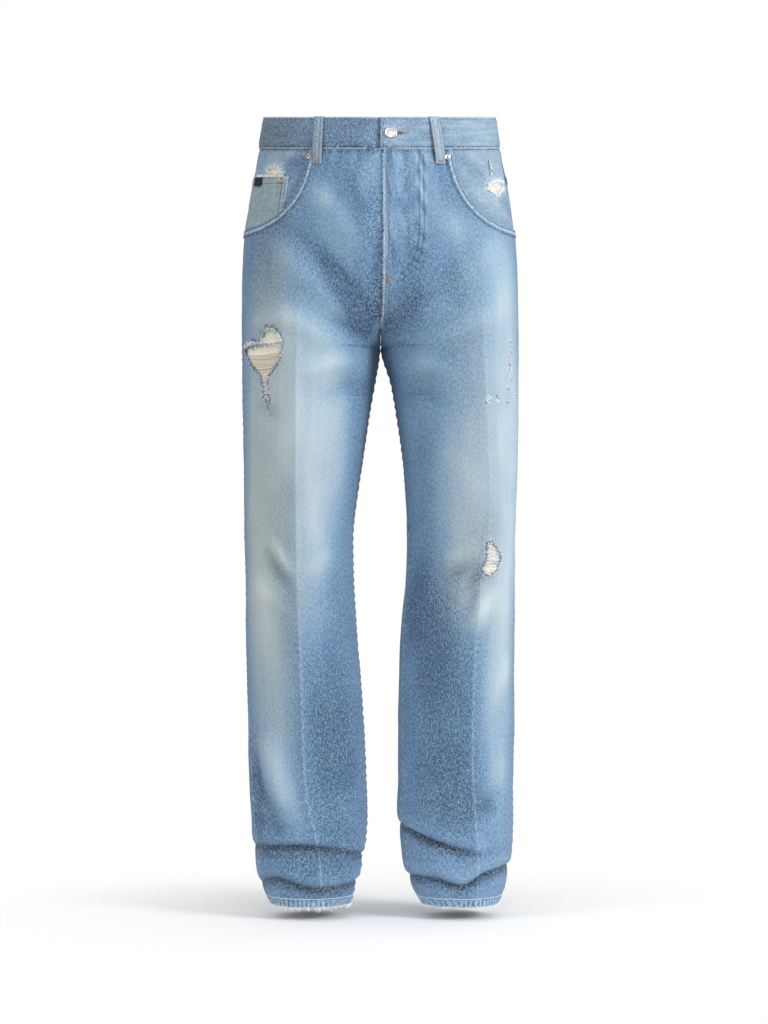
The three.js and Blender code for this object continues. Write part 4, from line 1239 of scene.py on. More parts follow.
def leg_panel(side, face, cuts, extra_columns=(), extra_rows=()):
    """One of the two front panels, with its pocket's mouth and its rips cut out."""
    name = f"front_panel_{SIDE_NAMES[side]}"

    def place(u, v):
        lift = fly_lift(side, u, v)
        return off_cloth(side, face, fly_share(side, u, v), v, lift)

    mesh, share, height = grid_piece(
        name,
        panel_columns(extra_columns),
        panel_rows(BAND_FOOT + 0.002, extra_rows),
        place,
        cuts=cuts,
        uv=OnPanel(side, face),
    )
    paint(mesh, wash_and_shade(side, face, share, height), wear_of(side, face, share, height, cuts))
    return sewn(mesh, face, DENIM, "denim", f"front_{SIDE_NAMES[side]}", "hung", "waistband")


def fine_shares(side, face, low, high, height, step):
    at = np.array(stops(low, high, step))
    return list(PANELS[side, face].share_at(at, np.full(len(at), height)))


for side in (RIGHT, LEFT):
    rip = RIPS[side, FRONT]
    (u0, v0), (u1, v1) = rip.min(axis=0), rip.max(axis=0)
    columns = fine_shares(side, FRONT, u0 - 0.004, u1 + 0.004, (v0 + v1) / 2, 0.0013)
    rows = stops(v0 - 0.004, v1 + 0.004, 0.0014)
    columns += [1.80, 1.83, 1.86, 1.885, 1.91, 1.93, 1.95, 1.965, 1.98, 1.99]
    if side == LEFT:
        columns += fine_shares(side, FRONT, 0.000, 0.046, -0.32, 0.0016)
        rows += stops(-0.276, -0.372, 0.0018)
    leg_panel(side, FRONT, [mouth_outline(side), rip], columns, rows)

YOKE_SIDE, YOKE_MIDDLE = -0.066, -0.092


def yoke_seam(share):
    return YOKE_SIDE + (YOKE_MIDDLE - YOKE_SIDE) * share / 2


def set_uv(mesh, u, v):
    corner = np.empty(len(mesh.loops), int)
    mesh.loops.foreach_get("vertex_index", corner)
    flat = np.column_stack([u, v])[corner].astype(np.float32)
    mesh.uv_layers["cloth"].data.foreach_set("uv", flat.ravel())


for side in (RIGHT, LEFT):
    # The back's rows slope near the top, so that they end along the yoke.
    rows = panel_rows(YOKE_SIDE - 0.0003)
    span = YOKE_SIDE - CROTCH

    def sloped(share, row):
        lift = np.clip((row - CROTCH) / span, 0, 1)
        return row + lift * (yoke_seam(share) - YOKE_SIDE)

    name = f"back_panel_{SIDE_NAMES[side]}"
    mesh, share, row = grid_piece(
        name, panel_columns(), rows, lambda u, v: off_cloth(side, BACK, u, sloped(u, v), 0.0)
    )
    height = sloped(share, row)
    set_uv(mesh, PANELS[side, BACK].along(share, height), height)
    paint(mesh, wash_and_shade(side, BACK, share, height), wear_of(side, BACK, share, height, []))
    sewn(mesh, BACK, DENIM, "denim", f"back_{SIDE_NAMES[side]}", "hung", f"yoke_{SIDE_NAMES[side]}")

    name = f"back_yoke_{SIDE_NAMES[side]}"
    foot = -0.0035  # the yoke laps the back panel by this much

    def rise(share, row):
        return yoke_seam(share) + foot + (BAND_FOOT + 0.002 - yoke_seam(share) - foot) * row

    mesh, share, row = grid_piece(
        name,
        panel_columns(),
        merged(stops(0, 1, 0.07), [0.02, 0.04, 0.06, 0.09, 0.12], gap=0.01),
        lambda u, v: off_cloth(side, BACK, u, rise(u, v), 0.0014 * smooth((0.30 - v) / 0.2)),
    )
    height = rise(share, row)
    set_uv(mesh, PANELS[side, BACK].along(share, height), height)
    paint(mesh, wash_and_shade(side, BACK, share, height), 0.55 * bell(row, 0.05))
    sewn(mesh, BACK, DENIM, "denim", f"yoke_{SIDE_NAMES[side]}", "hung", "waistband")

# ---- Strips and rows of stitches that follow the cloth ----


def on_flat(side, face, along, height, out):
    """Points of a panel given by their length from the crease and their height."""
    share = PANELS[side, face].share_at(along, height)
    return off_cloth(side, face, share, height, out)


STITCH_PITCH, STITCH_LENGTH, STITCH_WIDTH = 0.0031, 0.0025, 0.00085


def spindle():
    """One stitch of thread, a unit long."""
    bm = bmesh.new()
    bmesh.ops.create_uvsphere(bm, u_segments=6, v_segments=4, radius=0.5)
    bmesh.ops.rotate(bm, verts=bm.verts, matrix=Matrix.Rotation(math.radians(90), 3, "Y"))
    mesh = bpy.data.meshes.new("spindle")
    bm.to_mesh(mesh)
    bm.free()
    return mesh


SPINDLE = spindle()


def stitches(name, slot, centres, ways, ups, sizes, material):
    """Copies of one stitch as a single mesh. Each has its centre, the way it lies, the way out
    of the cloth and its (length, width)."""
    centres, ways, ups, sizes = (np.asarray(a, float) for a in (centres, ways, ups, sizes))
    ways = ways / np.linalg.norm(ways, axis=1, keepdims=True)
    sides = np.cross(ups, ways)
    sides /= np.linalg.norm(sides, axis=1, keepdims=True)
    ups = np.cross(ways, sides)
    count, points = len(centres), len(SPINDLE.vertices)
    shape = np.array([vert.co for vert in SPINDLE.vertices])
    corners = np.array([loop.vertex_index for loop in SPINDLE.loops])
    starts = np.array([polygon.loop_start for polygon in SPINDLE.polygons])
    length, width = sizes[:, 0, None, None], sizes[:, 1, None, None]
    placed = centres[:, None] + shape[None, :, :1] * length * ways[:, None]
    placed = placed + (shape[None, :, 1:2] * sides[:, None] + shape[None, :, 2:] * ups[:, None]) * width
    mesh = bpy.data.meshes.new(name)
    mesh.vertices.add(count * points)
    mesh.loops.add(count * len(corners))
    mesh.polygons.add(count * len(starts))
    each = np.arange(count)[:, None]
    mesh.vertices.foreach_set("co", placed.astype(np.float32).ravel())
    mesh.loops.foreach_set("vertex_index", (corners + each * points).astype(np.int32).ravel())
    mesh.polygons.foreach_set("loop_start", (starts + each * len(corners)).astype(np.int32).ravel())
    mesh.update(calc_edges=True)
    return finish_piece(new_object(name, mesh, material), slot)


def stitch_rows(name, slot, rows, material=None, length=STITCH_LENGTH, width=STITCH_WIDTH):
    """Rows of stitches as one mesh. A row is (points, directions out of the cloth)."""
    points = np.vstack([row[1:-1] for row, _ in rows])
    ways = np.vstack([np.gradient(row, axis=0)[1:-1] for row, _ in rows])
    ups = np.vstack([out[1:-1] for _, out in rows])
    sizes = np.tile([length, width], (len(points), 1))
    return stitches(name, slot, points, ways, ups, sizes, material or THREAD)


def row_on(side, face, line, out):
    """A row of stitches on a panel, from a flat line."""
    flat = even_points(line, STITCH_PITCH)
    share = PANELS[side, face].share_at(flat[:, 0], flat[:, 1])
    points = off_cloth(side, face, share, flat[:, 1], out)
    raised = off_cloth(side, face, share, flat[:, 1], np.asarray(out) + 0.001)
    return points, raised - points


# The folded and stitched edge of each pocket's mouth
MOUTH_EDGE, MOUTH_STITCH = 0.0115, 0.0026
for side in (RIGHT, LEFT):
    line = mouth_line(side, 120)
    line = line[line[:, 0] > -PANELS[side, FRONT].crease_length(line[:, 1])]
    line = even_points(line, 0.0024)
    total = np.linspace(0, 1, len(line))
    across = merged(stops(0, MOUTH_EDGE, 0.0012), [0.0004, MOUTH_EDGE - 0.0004], gap=0.0001)
    left_of = left_way(line)

    def mouth_flat(u, v):
        at = np.column_stack([np.interp(u, total, line[:, c]) for c in (0, 1)])
        off = np.column_stack([np.interp(u, total, left_of[:, c]) for c in (0, 1)])
        return at + off * v[:, None]

    def mouth_out(u, v):
        edge = np.minimum(v, MOUTH_EDGE - v)
        swell = 0.0013 * smooth(edge / 0.0014)
        for groove in (MOUTH_STITCH, MOUTH_EDGE - MOUTH_STITCH):
            swell -= 0.0006 * bell(v - groove, 0.0009)
        rope = 0.00035 * np.sin(u * 150 + 4 * wavy(u, v * 0, (0.05, 1), 17.0))
        return swell + rope * smooth(edge / 0.001) + 0.0002

    def mouth_place(u, v):
        flat = mouth_flat(u, v)
        return on_flat(side, FRONT, flat[:, 0], flat[:, 1], mouth_out(u, v))

    name = f"pocket_mouth_edge_{SIDE_NAMES[side]}"
    mesh, u, v = grid_piece(name, total, across, mouth_place)
    flat = mouth_flat(u, v)
    set_uv(mesh, flat[:, 0], flat[:, 1])
    share = PANELS[side, FRONT].share_at(flat[:, 0], flat[:, 1])
    between = smooth((v - 0.0030) / 0.0012) * smooth((MOUTH_EDGE - 0.0030 - v) / 0.0012)
    rub = 0.80 * bell(v, 0.0011) + 0.20 * bell(v - MOUTH_EDGE, 0.0012)
    rub += 0.62 * between + 0.06
    rub *= 0.75 + 0.6 * wavy(u, v, (0.02, 0.004), 12.0 + side)
    # Painted shade: the strip is darkened in its two stitch grooves and at its inner edge on the panel, and
    # less rubbing shows there.
    groove = bell(v - 0.0024, 0.0009) + bell(v - MOUTH_EDGE + 0.0022, 0.0010)
    groove += 0.6 * bell(v - MOUTH_EDGE, 0.0008)
    colours = wash_and_shade(side, FRONT, share, flat[:, 1]) * (1 - 0.62 * np.clip(groove, 0, 1))[:, None]
    paint(mesh, colours, rub * (1 - 0.7 * np.clip(groove, 0, 1)))
    face_outwards(mesh, FRONT)
    edge = new_object(name, mesh, OUTSIDE, INSIDE)
    thicken(edge, 0.0012)
    finish_piece(edge, "denim")
    offsets = (MOUTH_STITCH, MOUTH_EDGE - MOUTH_STITCH)
    rows = [row_on(side, FRONT, line + left_of * offset, 0.0012) for offset in offsets]
    stitch_rows(f"pocket_mouth_stitches_{SIDE_NAMES[side]}", "denim", rows)

# ---- Waistband ----

LAP, LAP_GAP, LAP_EASE = 0.034, 0.0010, 0.026
WAIST_RUN = [(LEFT, FRONT, True), (LEFT, BACK, False), (RIGHT, BACK, True), (RIGHT, FRONT, False)]
RUN_LENGTHS = [float(PANELS[side, face].total_length(0.0)) for side, face, _ in WAIST_RUN]
WAIST_LENGTH = sum(RUN_LENGTHS)


def on_waist(length, height, out):
    """Points round the waist: length runs from the middle of the front round the wearer's left."""
    length = np.mod(np.asarray(length, float), WAIST_LENGTH)
    length, height, out = (np.array(a, float) for a in np.broadcast_arrays(length, height, out))
    points = np.zeros(length.shape + (3,))
    start = 0.0
    for (side, face, inwards), run in zip(WAIST_RUN, RUN_LENGTHS):
        here = (length >= start) & (length <= start + run + 1e-9)
        if here.any():
            panel = PANELS[side, face]
            total = panel.total_length(height[here])
            scaled = (length[here] - start) / run * total
            seamward = total - scaled if inwards else scaled
            share = panel.share_at(seamward - panel.crease_length(height[here]), height[here])
            points[here] = off_cloth(side, face, share, height[here], out[here], plain=True)
        start += run
    return points


BAND_STITCH = 0.0030  # from the band's edges to its stitches
BUTTON_AT, BUTTON_RADIUS = 0.0138, 0.0085
HOLE_FROM, HOLE_TO, HOLE_HEIGHT = 0.008, 0.0285, 0.0017


def band_out(length, height):
    """The band's face: crowned between its rows of stitches, and thicker where it laps."""
    lapped = smooth((length - WAIST_LENGTH + LAP_EASE) / (LAP_EASE - 0.003))
    face = BAND_PROUD - lapped * (BAND_THICK + LAP_GAP)
    edge = np.minimum(height - BAND_FOOT, BAND_TOP - height)
    end = np.minimum(length, WAIST_LENGTH + LAP - length)
    rounded = -0.0011 * (1 - smooth(edge / 0.0016)) - 0.0011 * (1 - smooth(end / 0.0016))
    groove = -0.0007 * bell(edge - BAND_STITCH, 0.0010)
    groove -= 0.0006 * bell(end - BAND_STITCH, 0.0010)
    crown = 0.0005 * smooth((edge - 0.004) / 0.006)
    slack = 0.0007 * wavy(length, height, (0.030, 0.018), 41.0)
    pucker = 0.0006 * wavy(length, height, (0.0055, 0.02), 43.0) * bell(edge - 0.004, 0.006)
    over = 0.0009 * smooth((0.032 - length) / 0.02) * (length < 0.05)
    return face + rounded + groove + crown + slack + pucker + over


def arc_outline(x0, x1, middle, radius, count=7):
    """A slot with round ends."""
    turns = np.linspace(-math.pi / 2, math.pi / 2, count)
    right = [(x1 - radius + radius * math.cos(t), middle + radius * math.sin(t)) for t in turns]
    left = [(x0 + radius - radius * math.cos(t), middle - radius * math.sin(t)) for t in turns]
    return np.array(right + left)


hole = arc_outline(HOLE_FROM, HOLE_TO, 0, HOLE_HEIGHT / 2)
columns = merged(
    stops(0, WAIST_LENGTH + LAP, 0.0036),
    [0.0004, 0.0010, 0.0018, 0.0024, 0.0030, 0.0036, 0.0045],
    stops(HOLE_FROM - 0.003, HOLE_TO + 0.004, 0.0009),
    gap=0.0004,
)
inset = [0.0, 0.0005, 0.0011, 0.0018, 0.0024, 0.0030, 0.0036, 0.0045, 0.0065]
heights = merged(
    [BAND_FOOT + d for d in inset],
    [BAND_TOP - d for d in inset],
    stops(BAND_FOOT + 0.009, BAND_TOP - 0.009, 0.003),
    stops(-0.0026, 0.0026, 0.0008),
    gap=0.0004,
)
mesh, length, height = grid_piece(
    "waistband_strip", columns, heights, lambda u, v: on_waist(u, v, band_out(u, v)), cuts=[hole]
)


def band_dye_and_shade(length, height):
    """The band is painted darker at the wearer's right and paler at the wearer's left, painted shade on the
    side turned from the key light and painted light on the side facing it, and is bleached round the button.
    """
    turn = length / WAIST_LENGTH
    colour = all_over(length, (104, 134, 162))
    # painted shade at the wearer's right and painted light at the wearer's left
    for at, wide, dye_and_shade, strength in (
        (0.035, 0.045, (134, 160, 184), 0.7),
        (0.17, 0.08, (150, 174, 190), 0.85),
        (0.50, 0.16, (122, 150, 176), 0.6),
        (0.80, 0.09, (86, 106, 120), 0.9),
        (0.95, 0.05, (78, 106, 138), 0.8),
    ):
        gap = np.abs(turn - at)
        gap = np.minimum(gap, 1 - gap)
        amount = strength * bell(gap, wide)
        colour += (linear(dye_and_shade) - colour) * amount[..., None]
    streaks = 0.30 * wavy(length, height, (0.050, 0.0032), 47.0)
    streaks += 0.20 * wavy(length, height, (0.018, 0.012), 48.0)
    # painted shadow beside the lapped end, and painted shade in the foot's stitch groove
    lap_shadow = bell(WAIST_LENGTH - 0.001 - length, 0.0030) * (length < WAIST_LENGTH)
    foot = bell(height - BAND_FOOT - 0.0036, 0.0009)
    return colour * (1 + streaks - 0.45 * lap_shadow - 0.50 * foot)[..., None]


edge = np.minimum(height - BAND_FOOT, BAND_TOP - height)
rub = 0.50 * bell(edge - 0.0012, 0.0012) * (0.8 + 0.8 * wavy(length, height * 0, (0.006, 1), 3.0))
from_button = np.hypot((length - BUTTON_AT) / 0.016, height / 0.017)
rub += 0.60 * bell(from_button, 1) * (0.75 + 0.7 * wavy(length, height, (0.006, 0.006), 4.0))
rub += 0.5 * bell(length, 0.0016)
paint(mesh, band_dye_and_shade(length, height), rub)
middle = mesh.polygons[len(mesh.polygons) // 2]
if Vector(middle.normal).dot(Vector((middle.center[0], middle.center[1], 0))) < 0:
    mesh.flip_normals()
band = new_object("waistband_strip", mesh, OUTSIDE, INSIDE)
thicken(band, BAND_THICK - 0.0004)
cut_of(finish_piece(band, "waistband_denim", "waistband"), "hung")


def band_row(at, level):
    """A row of stitches on the band."""
    at, level = np.broadcast_arrays(at, level)
    points = on_waist(at, level, band_out(at, level))
    return points, on_waist(at, level, band_out(at, level) + 0.001) - points


round_band = np.arange(BAND_STITCH, WAIST_LENGTH - 0.003, STITCH_PITCH)
rows = [band_row(round_band, level) for level in (BAND_FOOT + BAND_STITCH, BAND_TOP - BAND_STITCH)]
rows.append(band_row(BAND_STITCH, np.arange(BAND_FOOT + BAND_STITCH, BAND_TOP - BAND_STITCH, STITCH_PITCH)))
stitch_rows("waistband_stitches", "waistband_denim", rows)

# The buttonhole's worked edge and the bar tack at its end, in tan thread
outline = even_points(np.vstack([hole, hole[:1]]), 0.0007)[:-1]
outwards = -left_way(outline)
inner, outer = outline + outwards * 0.0001, outline + outwards * 0.0018
tack = HOLE_TO + 0.0010 + 0.0006 * np.arange(12)
reach = 0.0016 - 0.00009 * np.arange(12)
inner = np.vstack([inner, np.column_stack([tack, reach])])
outer = np.vstack([outer, np.column_stack([tack, -reach])])
proud = band_out(outer[:, 0], outer[:, 1]) + 0.0003
a, b = (on_waist(line[:, 0], line[:, 1], proud) for line in (inner, outer))
up = on_waist(outer[:, 0], outer[:, 1], proud + 0.001) - b
size = np.column_stack([np.linalg.norm(b - a, axis=1) + 0.0004, np.full(len(a), 0.0008)])
stitches("buttonhole_edge", "waistband_denim", (a + b) / 2, b - a, up, size, TAN_THREAD)

# ---- Button and rivets ----


def spun(name, profile, place, way, steps, *materials):
    """A turned piece: profile is (radius, distance out), from the axis round to the axis."""
    bm = bmesh.new()
    verts = [bm.verts.new((r, 0, out)) for r, out in profile]
    edges = [bm.edges.new(pair) for pair in zip(verts, verts[1:])]
    bmesh.ops.spin(
        bm, geom=verts + edges, cent=(0, 0, 0), axis=(0, 0, 1), dvec=(0, 0, 0),
        angle=2 * math.pi, steps=steps, use_merge=True, use_duplicate=False,
    )
    bmesh.ops.remove_doubles(bm, verts=bm.verts, dist=1e-6)
    bmesh.ops.recalc_face_normals(bm, faces=bm.faces)
    turn = Vector((0, 0, 1)).rotation_difference(Vector(way)).to_matrix().to_4x4()
    bmesh.ops.transform(bm, matrix=Matrix.Translation(place) @ turn, verts=bm.verts)
    mesh = bpy.data.meshes.new(name)
    bm.to_mesh(mesh)
    bm.free()
    return new_object(name, mesh, *materials)


def rounded_profile(points, radius=0.00018):
    """A profile with a short bevel at each of its inner corners."""
    made = [points[0]]
    for before, corner, after in zip(points, points[1:], points[2:]):
        corner = np.array(corner, float)
        for other in (before, after):
            way = np.array(other, float) - corner
            span = np.linalg.norm(way)
            made.append(tuple(corner + way / span * min(radius, span * 0.4)))
    made.append(points[-1])
    return made


button_point = on_waist(BUTTON_AT, 0.0, 0.0)
button_way = on_waist(BUTTON_AT, 0.0, 0.001) - button_point
CAP = BAND_PROUD + 0.0013
R = BUTTON_RADIUS
button_profile = rounded_profile([
    (0, -0.0075), (0.005, -0.0072), (0.005, -0.0062), (0.0030, -0.0060), (0.0030, CAP - 0.0002),
    (R - 0.0008, CAP), (R, CAP + 0.0009), (R - 0.0004, CAP + 0.0021), (R - 0.0012, CAP + 0.0026),
    (R - 0.0018, CAP + 0.0023), (R - 0.0026, CAP + 0.0020), (0.0042, CAP + 0.0024), (0.0020, CAP + 0.0027),
    (0, CAP + 0.0028),
])
button = spun("shank_button", button_profile, button_point, button_way, 56, SILVER)
finish_piece(button, "button_metal", "button")

rivet_profile = rounded_profile([
    (0, 0), (0.0041, 0), (0.0043, 0.0005), (0.0038, 0.0011), (0.0031, 0.0013), (0.0026, 0.0010),
    (0.0017, 0.0011), (0.0013, 0.0020), (0.0006, 0.0023), (0, 0.0023),
], 0.00012)
# (side, distance from the middle plane, height, distance off the cloth, metal)
RIVETS = {
    "rivet_right": (RIGHT, 0.094, -0.031, 0.0014, COPPER),
    "rivet_left": (LEFT, 0.0885, -0.0315, 0.0014, SILVER),
    "rivet_coin_pocket": (RIGHT, 0.1315, -0.064, 0.0004, COPPER),
}
for name, (side, distance, height, out, plate) in RIVETS.items():
    share = PANELS[side, FRONT].share_of(distance, height)
    point = off_cloth(side, FRONT, share, np.array([height]), out)[0]
    way = facing(side, FRONT, share, np.array([height]))[0]
    finish_piece(spun(name + "_cap", rivet_profile, point, way, 28, plate), "rivet_metal", name)

# ---- Belt loops ----

LOOP_WIDTH, LOOP_THICK = 0.0130, 0.0016
LOOP_TOP, LOOP_FOOT, LOOP_GAP = BAND_TOP + 0.0002, -0.041, 0.0034
LOOP_CUT = 0.063  # its length laid flat
# (side, face, distance from the middle plane at the top, the same at the foot)
LOOPS = {
    "front_right": (RIGHT, FRONT, 0.080, 0.083),
    "front_left": (LEFT, FRONT, 0.070, 0.079),
    "back_right": (RIGHT, BACK, 0.092, 0.094),
    "back_left": (LEFT, BACK, 0.092, 0.094),
    "back_middle": (LEFT, BACK, 0.0, 0.0),
}


def on_loop(loop, across, rise, out=0.0):
    """Points of a strap: across runs from -1 to 1 and rise from its foot to its top."""
    side, face, top, foot = loop
    height = LOOP_FOOT + (LOOP_TOP - LOOP_FOOT) * rise
    distance = foot + (top - foot) * rise + across * LOOP_WIDTH / 2
    flat = smooth(np.minimum(rise, 1 - rise) / 0.22)
    rest = BAND_PROUD * smooth((height - BAND_FOOT + 0.004) / 0.004) + 0.0006
    gap = rest + (LOOP_GAP - rest) * flat + LOOP_THICK
    gap = gap - 0.0007 * np.abs(across) ** 5 + 0.0002 * np.cos(across * 3 * math.pi)
    points = np.empty(across.shape + (3,))
    for on, here in ((side, distance >= 0), (-side, distance < 0)):
        if here.any():
            share = PANELS[on, face].share_of(np.abs(distance[here]), height[here])
            points[here] = off_cloth(on, face, share, height[here], gap[here] + out, plain=True)
    return points


for name, loop in LOOPS.items():
    side, face = loop[:2]
    mesh, across, rise = grid_piece(
        "loop_strap_" + name,
        merged(stops(-1, 1, 0.13), [-0.97, -0.93, 0.93, 0.97], gap=0.01),
        merged(stops(0, 1, 0.035), [0.008, 0.016, 0.984, 0.992], gap=0.002),
        lambda u, v: on_loop(loop, u, v),
    )
    set_uv(mesh, across * LOOP_WIDTH / 2 + loop[2], LOOP_FOOT + rise * LOOP_CUT)
    tone = (130, 146, 160) if side == RIGHT else (154, 170, 182)
    edge_dark = (1 - smooth((1 - np.abs(across)) / 0.16))[:, None]
    colours = linear(tone) * (1 - edge_dark) + linear((84, 108, 136)) * edge_dark
    rub = 0.30 * bell(np.abs(across) - 0.62, 0.10) + 0.22 * bell(across, 0.3)
    paint(mesh, colours, rub * (0.8 + 0.7 * wavy(across, rise, (0.4, 0.06), 6.0)))
    sewn(mesh, face, LOOP_THICK, "waistband_denim", "belt_loop_" + name, "laid", "waistband")
    rows = []
    rise = np.arange(0.02, 0.99, STITCH_PITCH / (LOOP_TOP - LOOP_FOOT))
    for across in (np.full(len(rise), -0.52), np.full(len(rise), 0.52)):
        points = on_loop(loop, across, rise)
        rows.append((points, on_loop(loop, across, rise, 0.001) - points))
    stitch_rows("loop_stitches_" + name, "waistband_denim", rows)
    # The bar tack that holds the strap's foot: short stitches side by side.
    across = np.linspace(-0.50, 0.50, 19)
    rise = 0.045 + 0.006 * np.sin(np.arange(19) * 2.4)
    points = on_loop(loop, across, rise, 0.0002)
    ups = on_loop(loop, across, rise, 0.0012) - points
    ways = on_loop(loop, across, rise + 0.03, 0.0002) - points
    size = np.tile([0.0022, 0.0008], (19, 1))
    stitches("loop_tack_" + name, "waistband_denim", points, ways, ups, size, TAN_THREAD)

# ---- Front pockets' facings, the coin pocket and its tab ----

FACING_FOOT, FACING_INNER = -0.160, 0.084
POCKET_RIPS = {
    RIGHT: ragged(to_along(RIGHT, FRONT, RIGHT_POCKET_RIP), 0.002, 0.0016, 3.0),
    LEFT: ragged(to_along(LEFT, FRONT, LEFT_POCKET_RIP), 0.002, 0.0016, 4.0),
}
POCKET_SLIT = ragged(to_along(LEFT, FRONT, LEFT_POCKET_SLIT), 0.002, 0.0008, 5.0)
FACING_DYE = {RIGHT: (126, 152, 174), LEFT: (142, 165, 184)}


def facing_out(side, share, height):
    """The facing hangs a little loose behind the mouth, and is sewn into the side seam."""
    along = PANELS[side, FRONT].along(share, height)
    slack = 0.0009 * wavy(along, height, (0.030, 0.040), 51.0 + side)
    slack += 0.0006 * wavy(along, height, (0.011, 0.013), 53.0 + side)
    loose = smooth(share / 0.10)
    return (slack - 0.0021) * loose - 0.0002 * (1 - loose)


for side in (RIGHT, LEFT):
    panel = PANELS[side, FRONT]
    rip = POCKET_RIPS[side]
    (rip_u0, rip_v0), (rip_u1, rip_v1) = rip.min(axis=0) - 0.002, rip.max(axis=0) + 0.002
    share_in = float(panel.share_of(FACING_INNER, -0.09)[0])
    name = f"pocket_facing_cloth_{SIDE_NAMES[side]}"
    mesh, share, height = grid_piece(
        name,
        merged(
            stops(0, share_in, 0.022),
            fine_shares(side, FRONT, rip_u0, rip_u1, rip[:, 1].mean(), 0.0010),
            gap=0.005,
        ),
        merged(
            stops(BAND_FOOT + 0.002, FACING_FOOT, 0.0032),
            stops(rip_v0, rip_v1, 0.0010),
            gap=0.0006,
        ),
        lambda u, v: off_cloth(side, FRONT, u, v, facing_out(side, u, v)),
        cuts=[rip] if side == RIGHT else [rip, POCKET_SLIT],
        uv=OnPanel(side, FRONT),
    )
    along = panel.along(share, height)
    colours = all_over(share, FACING_DYE[side])
    # darker towards the mouth
    from_mouth = nearest_on(mouth_line(side), along, height)[2]
    deep = (smooth((0.022 - from_mouth) / 0.020) * (0.85 if side == RIGHT else 0.45))[:, None]
    colours += (linear((74, 108, 146)) - colours) * deep
    gap = nearest_on(rip, along, height)[2]
    rub = 0.7 * bell(gap, 0.003) + 0.35 * bell(gap, 0.010)
    rub += 0.25 * np.clip(wavy(along, height, (0.016, 0.012), 57.0 + side), 0, 1)
    paint(mesh, colours, rub)
    sewn(mesh, FRONT, 0.0012, "facing_denim", f"pocket_facing_{SIDE_NAMES[side]}", "hung", "waistband")

COIN_INNER, COIN_OUTER, COIN_TOP, COIN_FOOT = 0.1275, 0.168, -0.0585, -0.150
COIN_TOP_ROWS, COIN_SIDE_ROWS = (0.0028, 0.0100), (0.0024, 0.0080)
coin_panel = PANELS[RIGHT, FRONT]
coin_u0, coin_u1 = (float(coin_panel.share_of(x, -0.10)[0]) for x in (COIN_OUTER + 0.02, COIN_INNER))


def coin_out(along, height):
    """The coin pocket is sewn flat at its side and puffs a little; its top edge is folded."""
    inner = to_along(RIGHT, FRONT, [(COIN_INNER, -0.10)])[0, 0]
    edge = np.minimum(inner - along, COIN_TOP - height)
    puff = 0.0010 * smooth(edge / 0.0022) + 0.0005 * wavy(along, height, (0.013, 0.011), 61.0)
    for at in COIN_TOP_ROWS:
        puff -= 0.0005 * bell(COIN_TOP - height - at, 0.0009)
    for at in COIN_SIDE_ROWS:
        puff -= 0.0004 * bell(inner - along - at, 0.0009)
    return puff - 0.0004


def coin_wave(share, height):
    """Its raw top edge runs a little unevenly."""
    return 0.0007 * wavy(share, height * 0, (0.03, 1), 62.0) * smooth((height - COIN_TOP + 0.01) / 0.01)


mesh, share, height = grid_piece(
    "coin_pocket_patch",
    merged(stops(coin_u0, coin_u1, 0.012), [coin_u1 - 0.004, coin_u1 - 0.008], gap=0.002),
    merged(stops(COIN_TOP, COIN_FOOT, 0.0020), [COIN_TOP - 0.0007, COIN_TOP - 0.0014], gap=0.0004),
    lambda u, v: off_cloth(RIGHT, FRONT, u, v + coin_wave(u, v), coin_out(coin_panel.along(u, v), v)),
    keep=[mouth_outline(RIGHT)],
    uv=OnPanel(RIGHT, FRONT),
)
along = coin_panel.along(share, height)
colours = all_over(share, (136, 156, 162))
top_band = smooth((height - COIN_TOP + 0.013) / 0.002)[:, None]
colours = colours * (1 - top_band) + linear((150, 160, 166)) * top_band
inner = to_along(RIGHT, FRONT, [(COIN_INNER, -0.10)])[0, 0]
rub = 0.7 * bell(COIN_TOP - height, 0.0012) + 0.45 * bell(inner - along, 0.0014)
rub += 0.35 * bell(inner - along - 0.0052, 0.0012)
rub *= 0.8 + 0.9 * wavy(along, height, (0.006, 0.006), 63.0)
rub += 0.22 * np.clip(wavy(along, height, (0.010, 0.022), 64.0), 0, 1)
paint(mesh, colours, rub)
sewn(mesh, FRONT, 0.0011, "facing_denim", "coin_pocket", "laid", "pocket_facing_right")

rows = []
outer = to_along(RIGHT, FRONT, [(COIN_OUTER, -0.10)])[0, 0]
for drop in COIN_TOP_ROWS:
    line = [(outer - 0.012, COIN_TOP - drop), (inner - 0.002, COIN_TOP - drop)]
    rows.append(row_on(RIGHT, FRONT, line, 0.0006))
for back_off in COIN_SIDE_ROWS:
    line = [(inner - back_off, COIN_TOP - 0.002), (inner - back_off, COIN_FOOT + 0.02)]
    rows.append(row_on(RIGHT, FRONT, line, 0.0006))
rows = [
    tuple(part[points[:, 2] > -0.155] for part in (points, ups)) for points, ups in rows
]
stitch_rows("coin_pocket_stitches", "facing_denim", rows)

TAB_INNER, TAB_OUTER, TAB_TOP, TAB_FOOT = 0.1565, 0.1665, -0.0605, -0.0725
tab_shares = [float(coin_panel.share_of(x, -0.067)[0]) for x in (TAB_OUTER, TAB_INNER)]
mesh, share, height = grid_piece(
    "plain_black_tab",
    stops(tab_shares[0], tab_shares[1], 0.008),
    stops(TAB_TOP, TAB_FOOT, 0.0012),
    lambda u, v: off_cloth(RIGHT, FRONT, u, v, 0.0026 + 0.0004 * wavy(u, v, (0.03, 0.006), 66.0)),
)
set_uv(mesh, coin_panel.along(share, height), height)
sewn(mesh, FRONT, 0.0007, "black_tape", "coin_pocket_tab", "laid", "coin_pocket", 0, [BLACK_TAPE])

# ---- Fly: the shield behind it and the curved rows of stitches ----


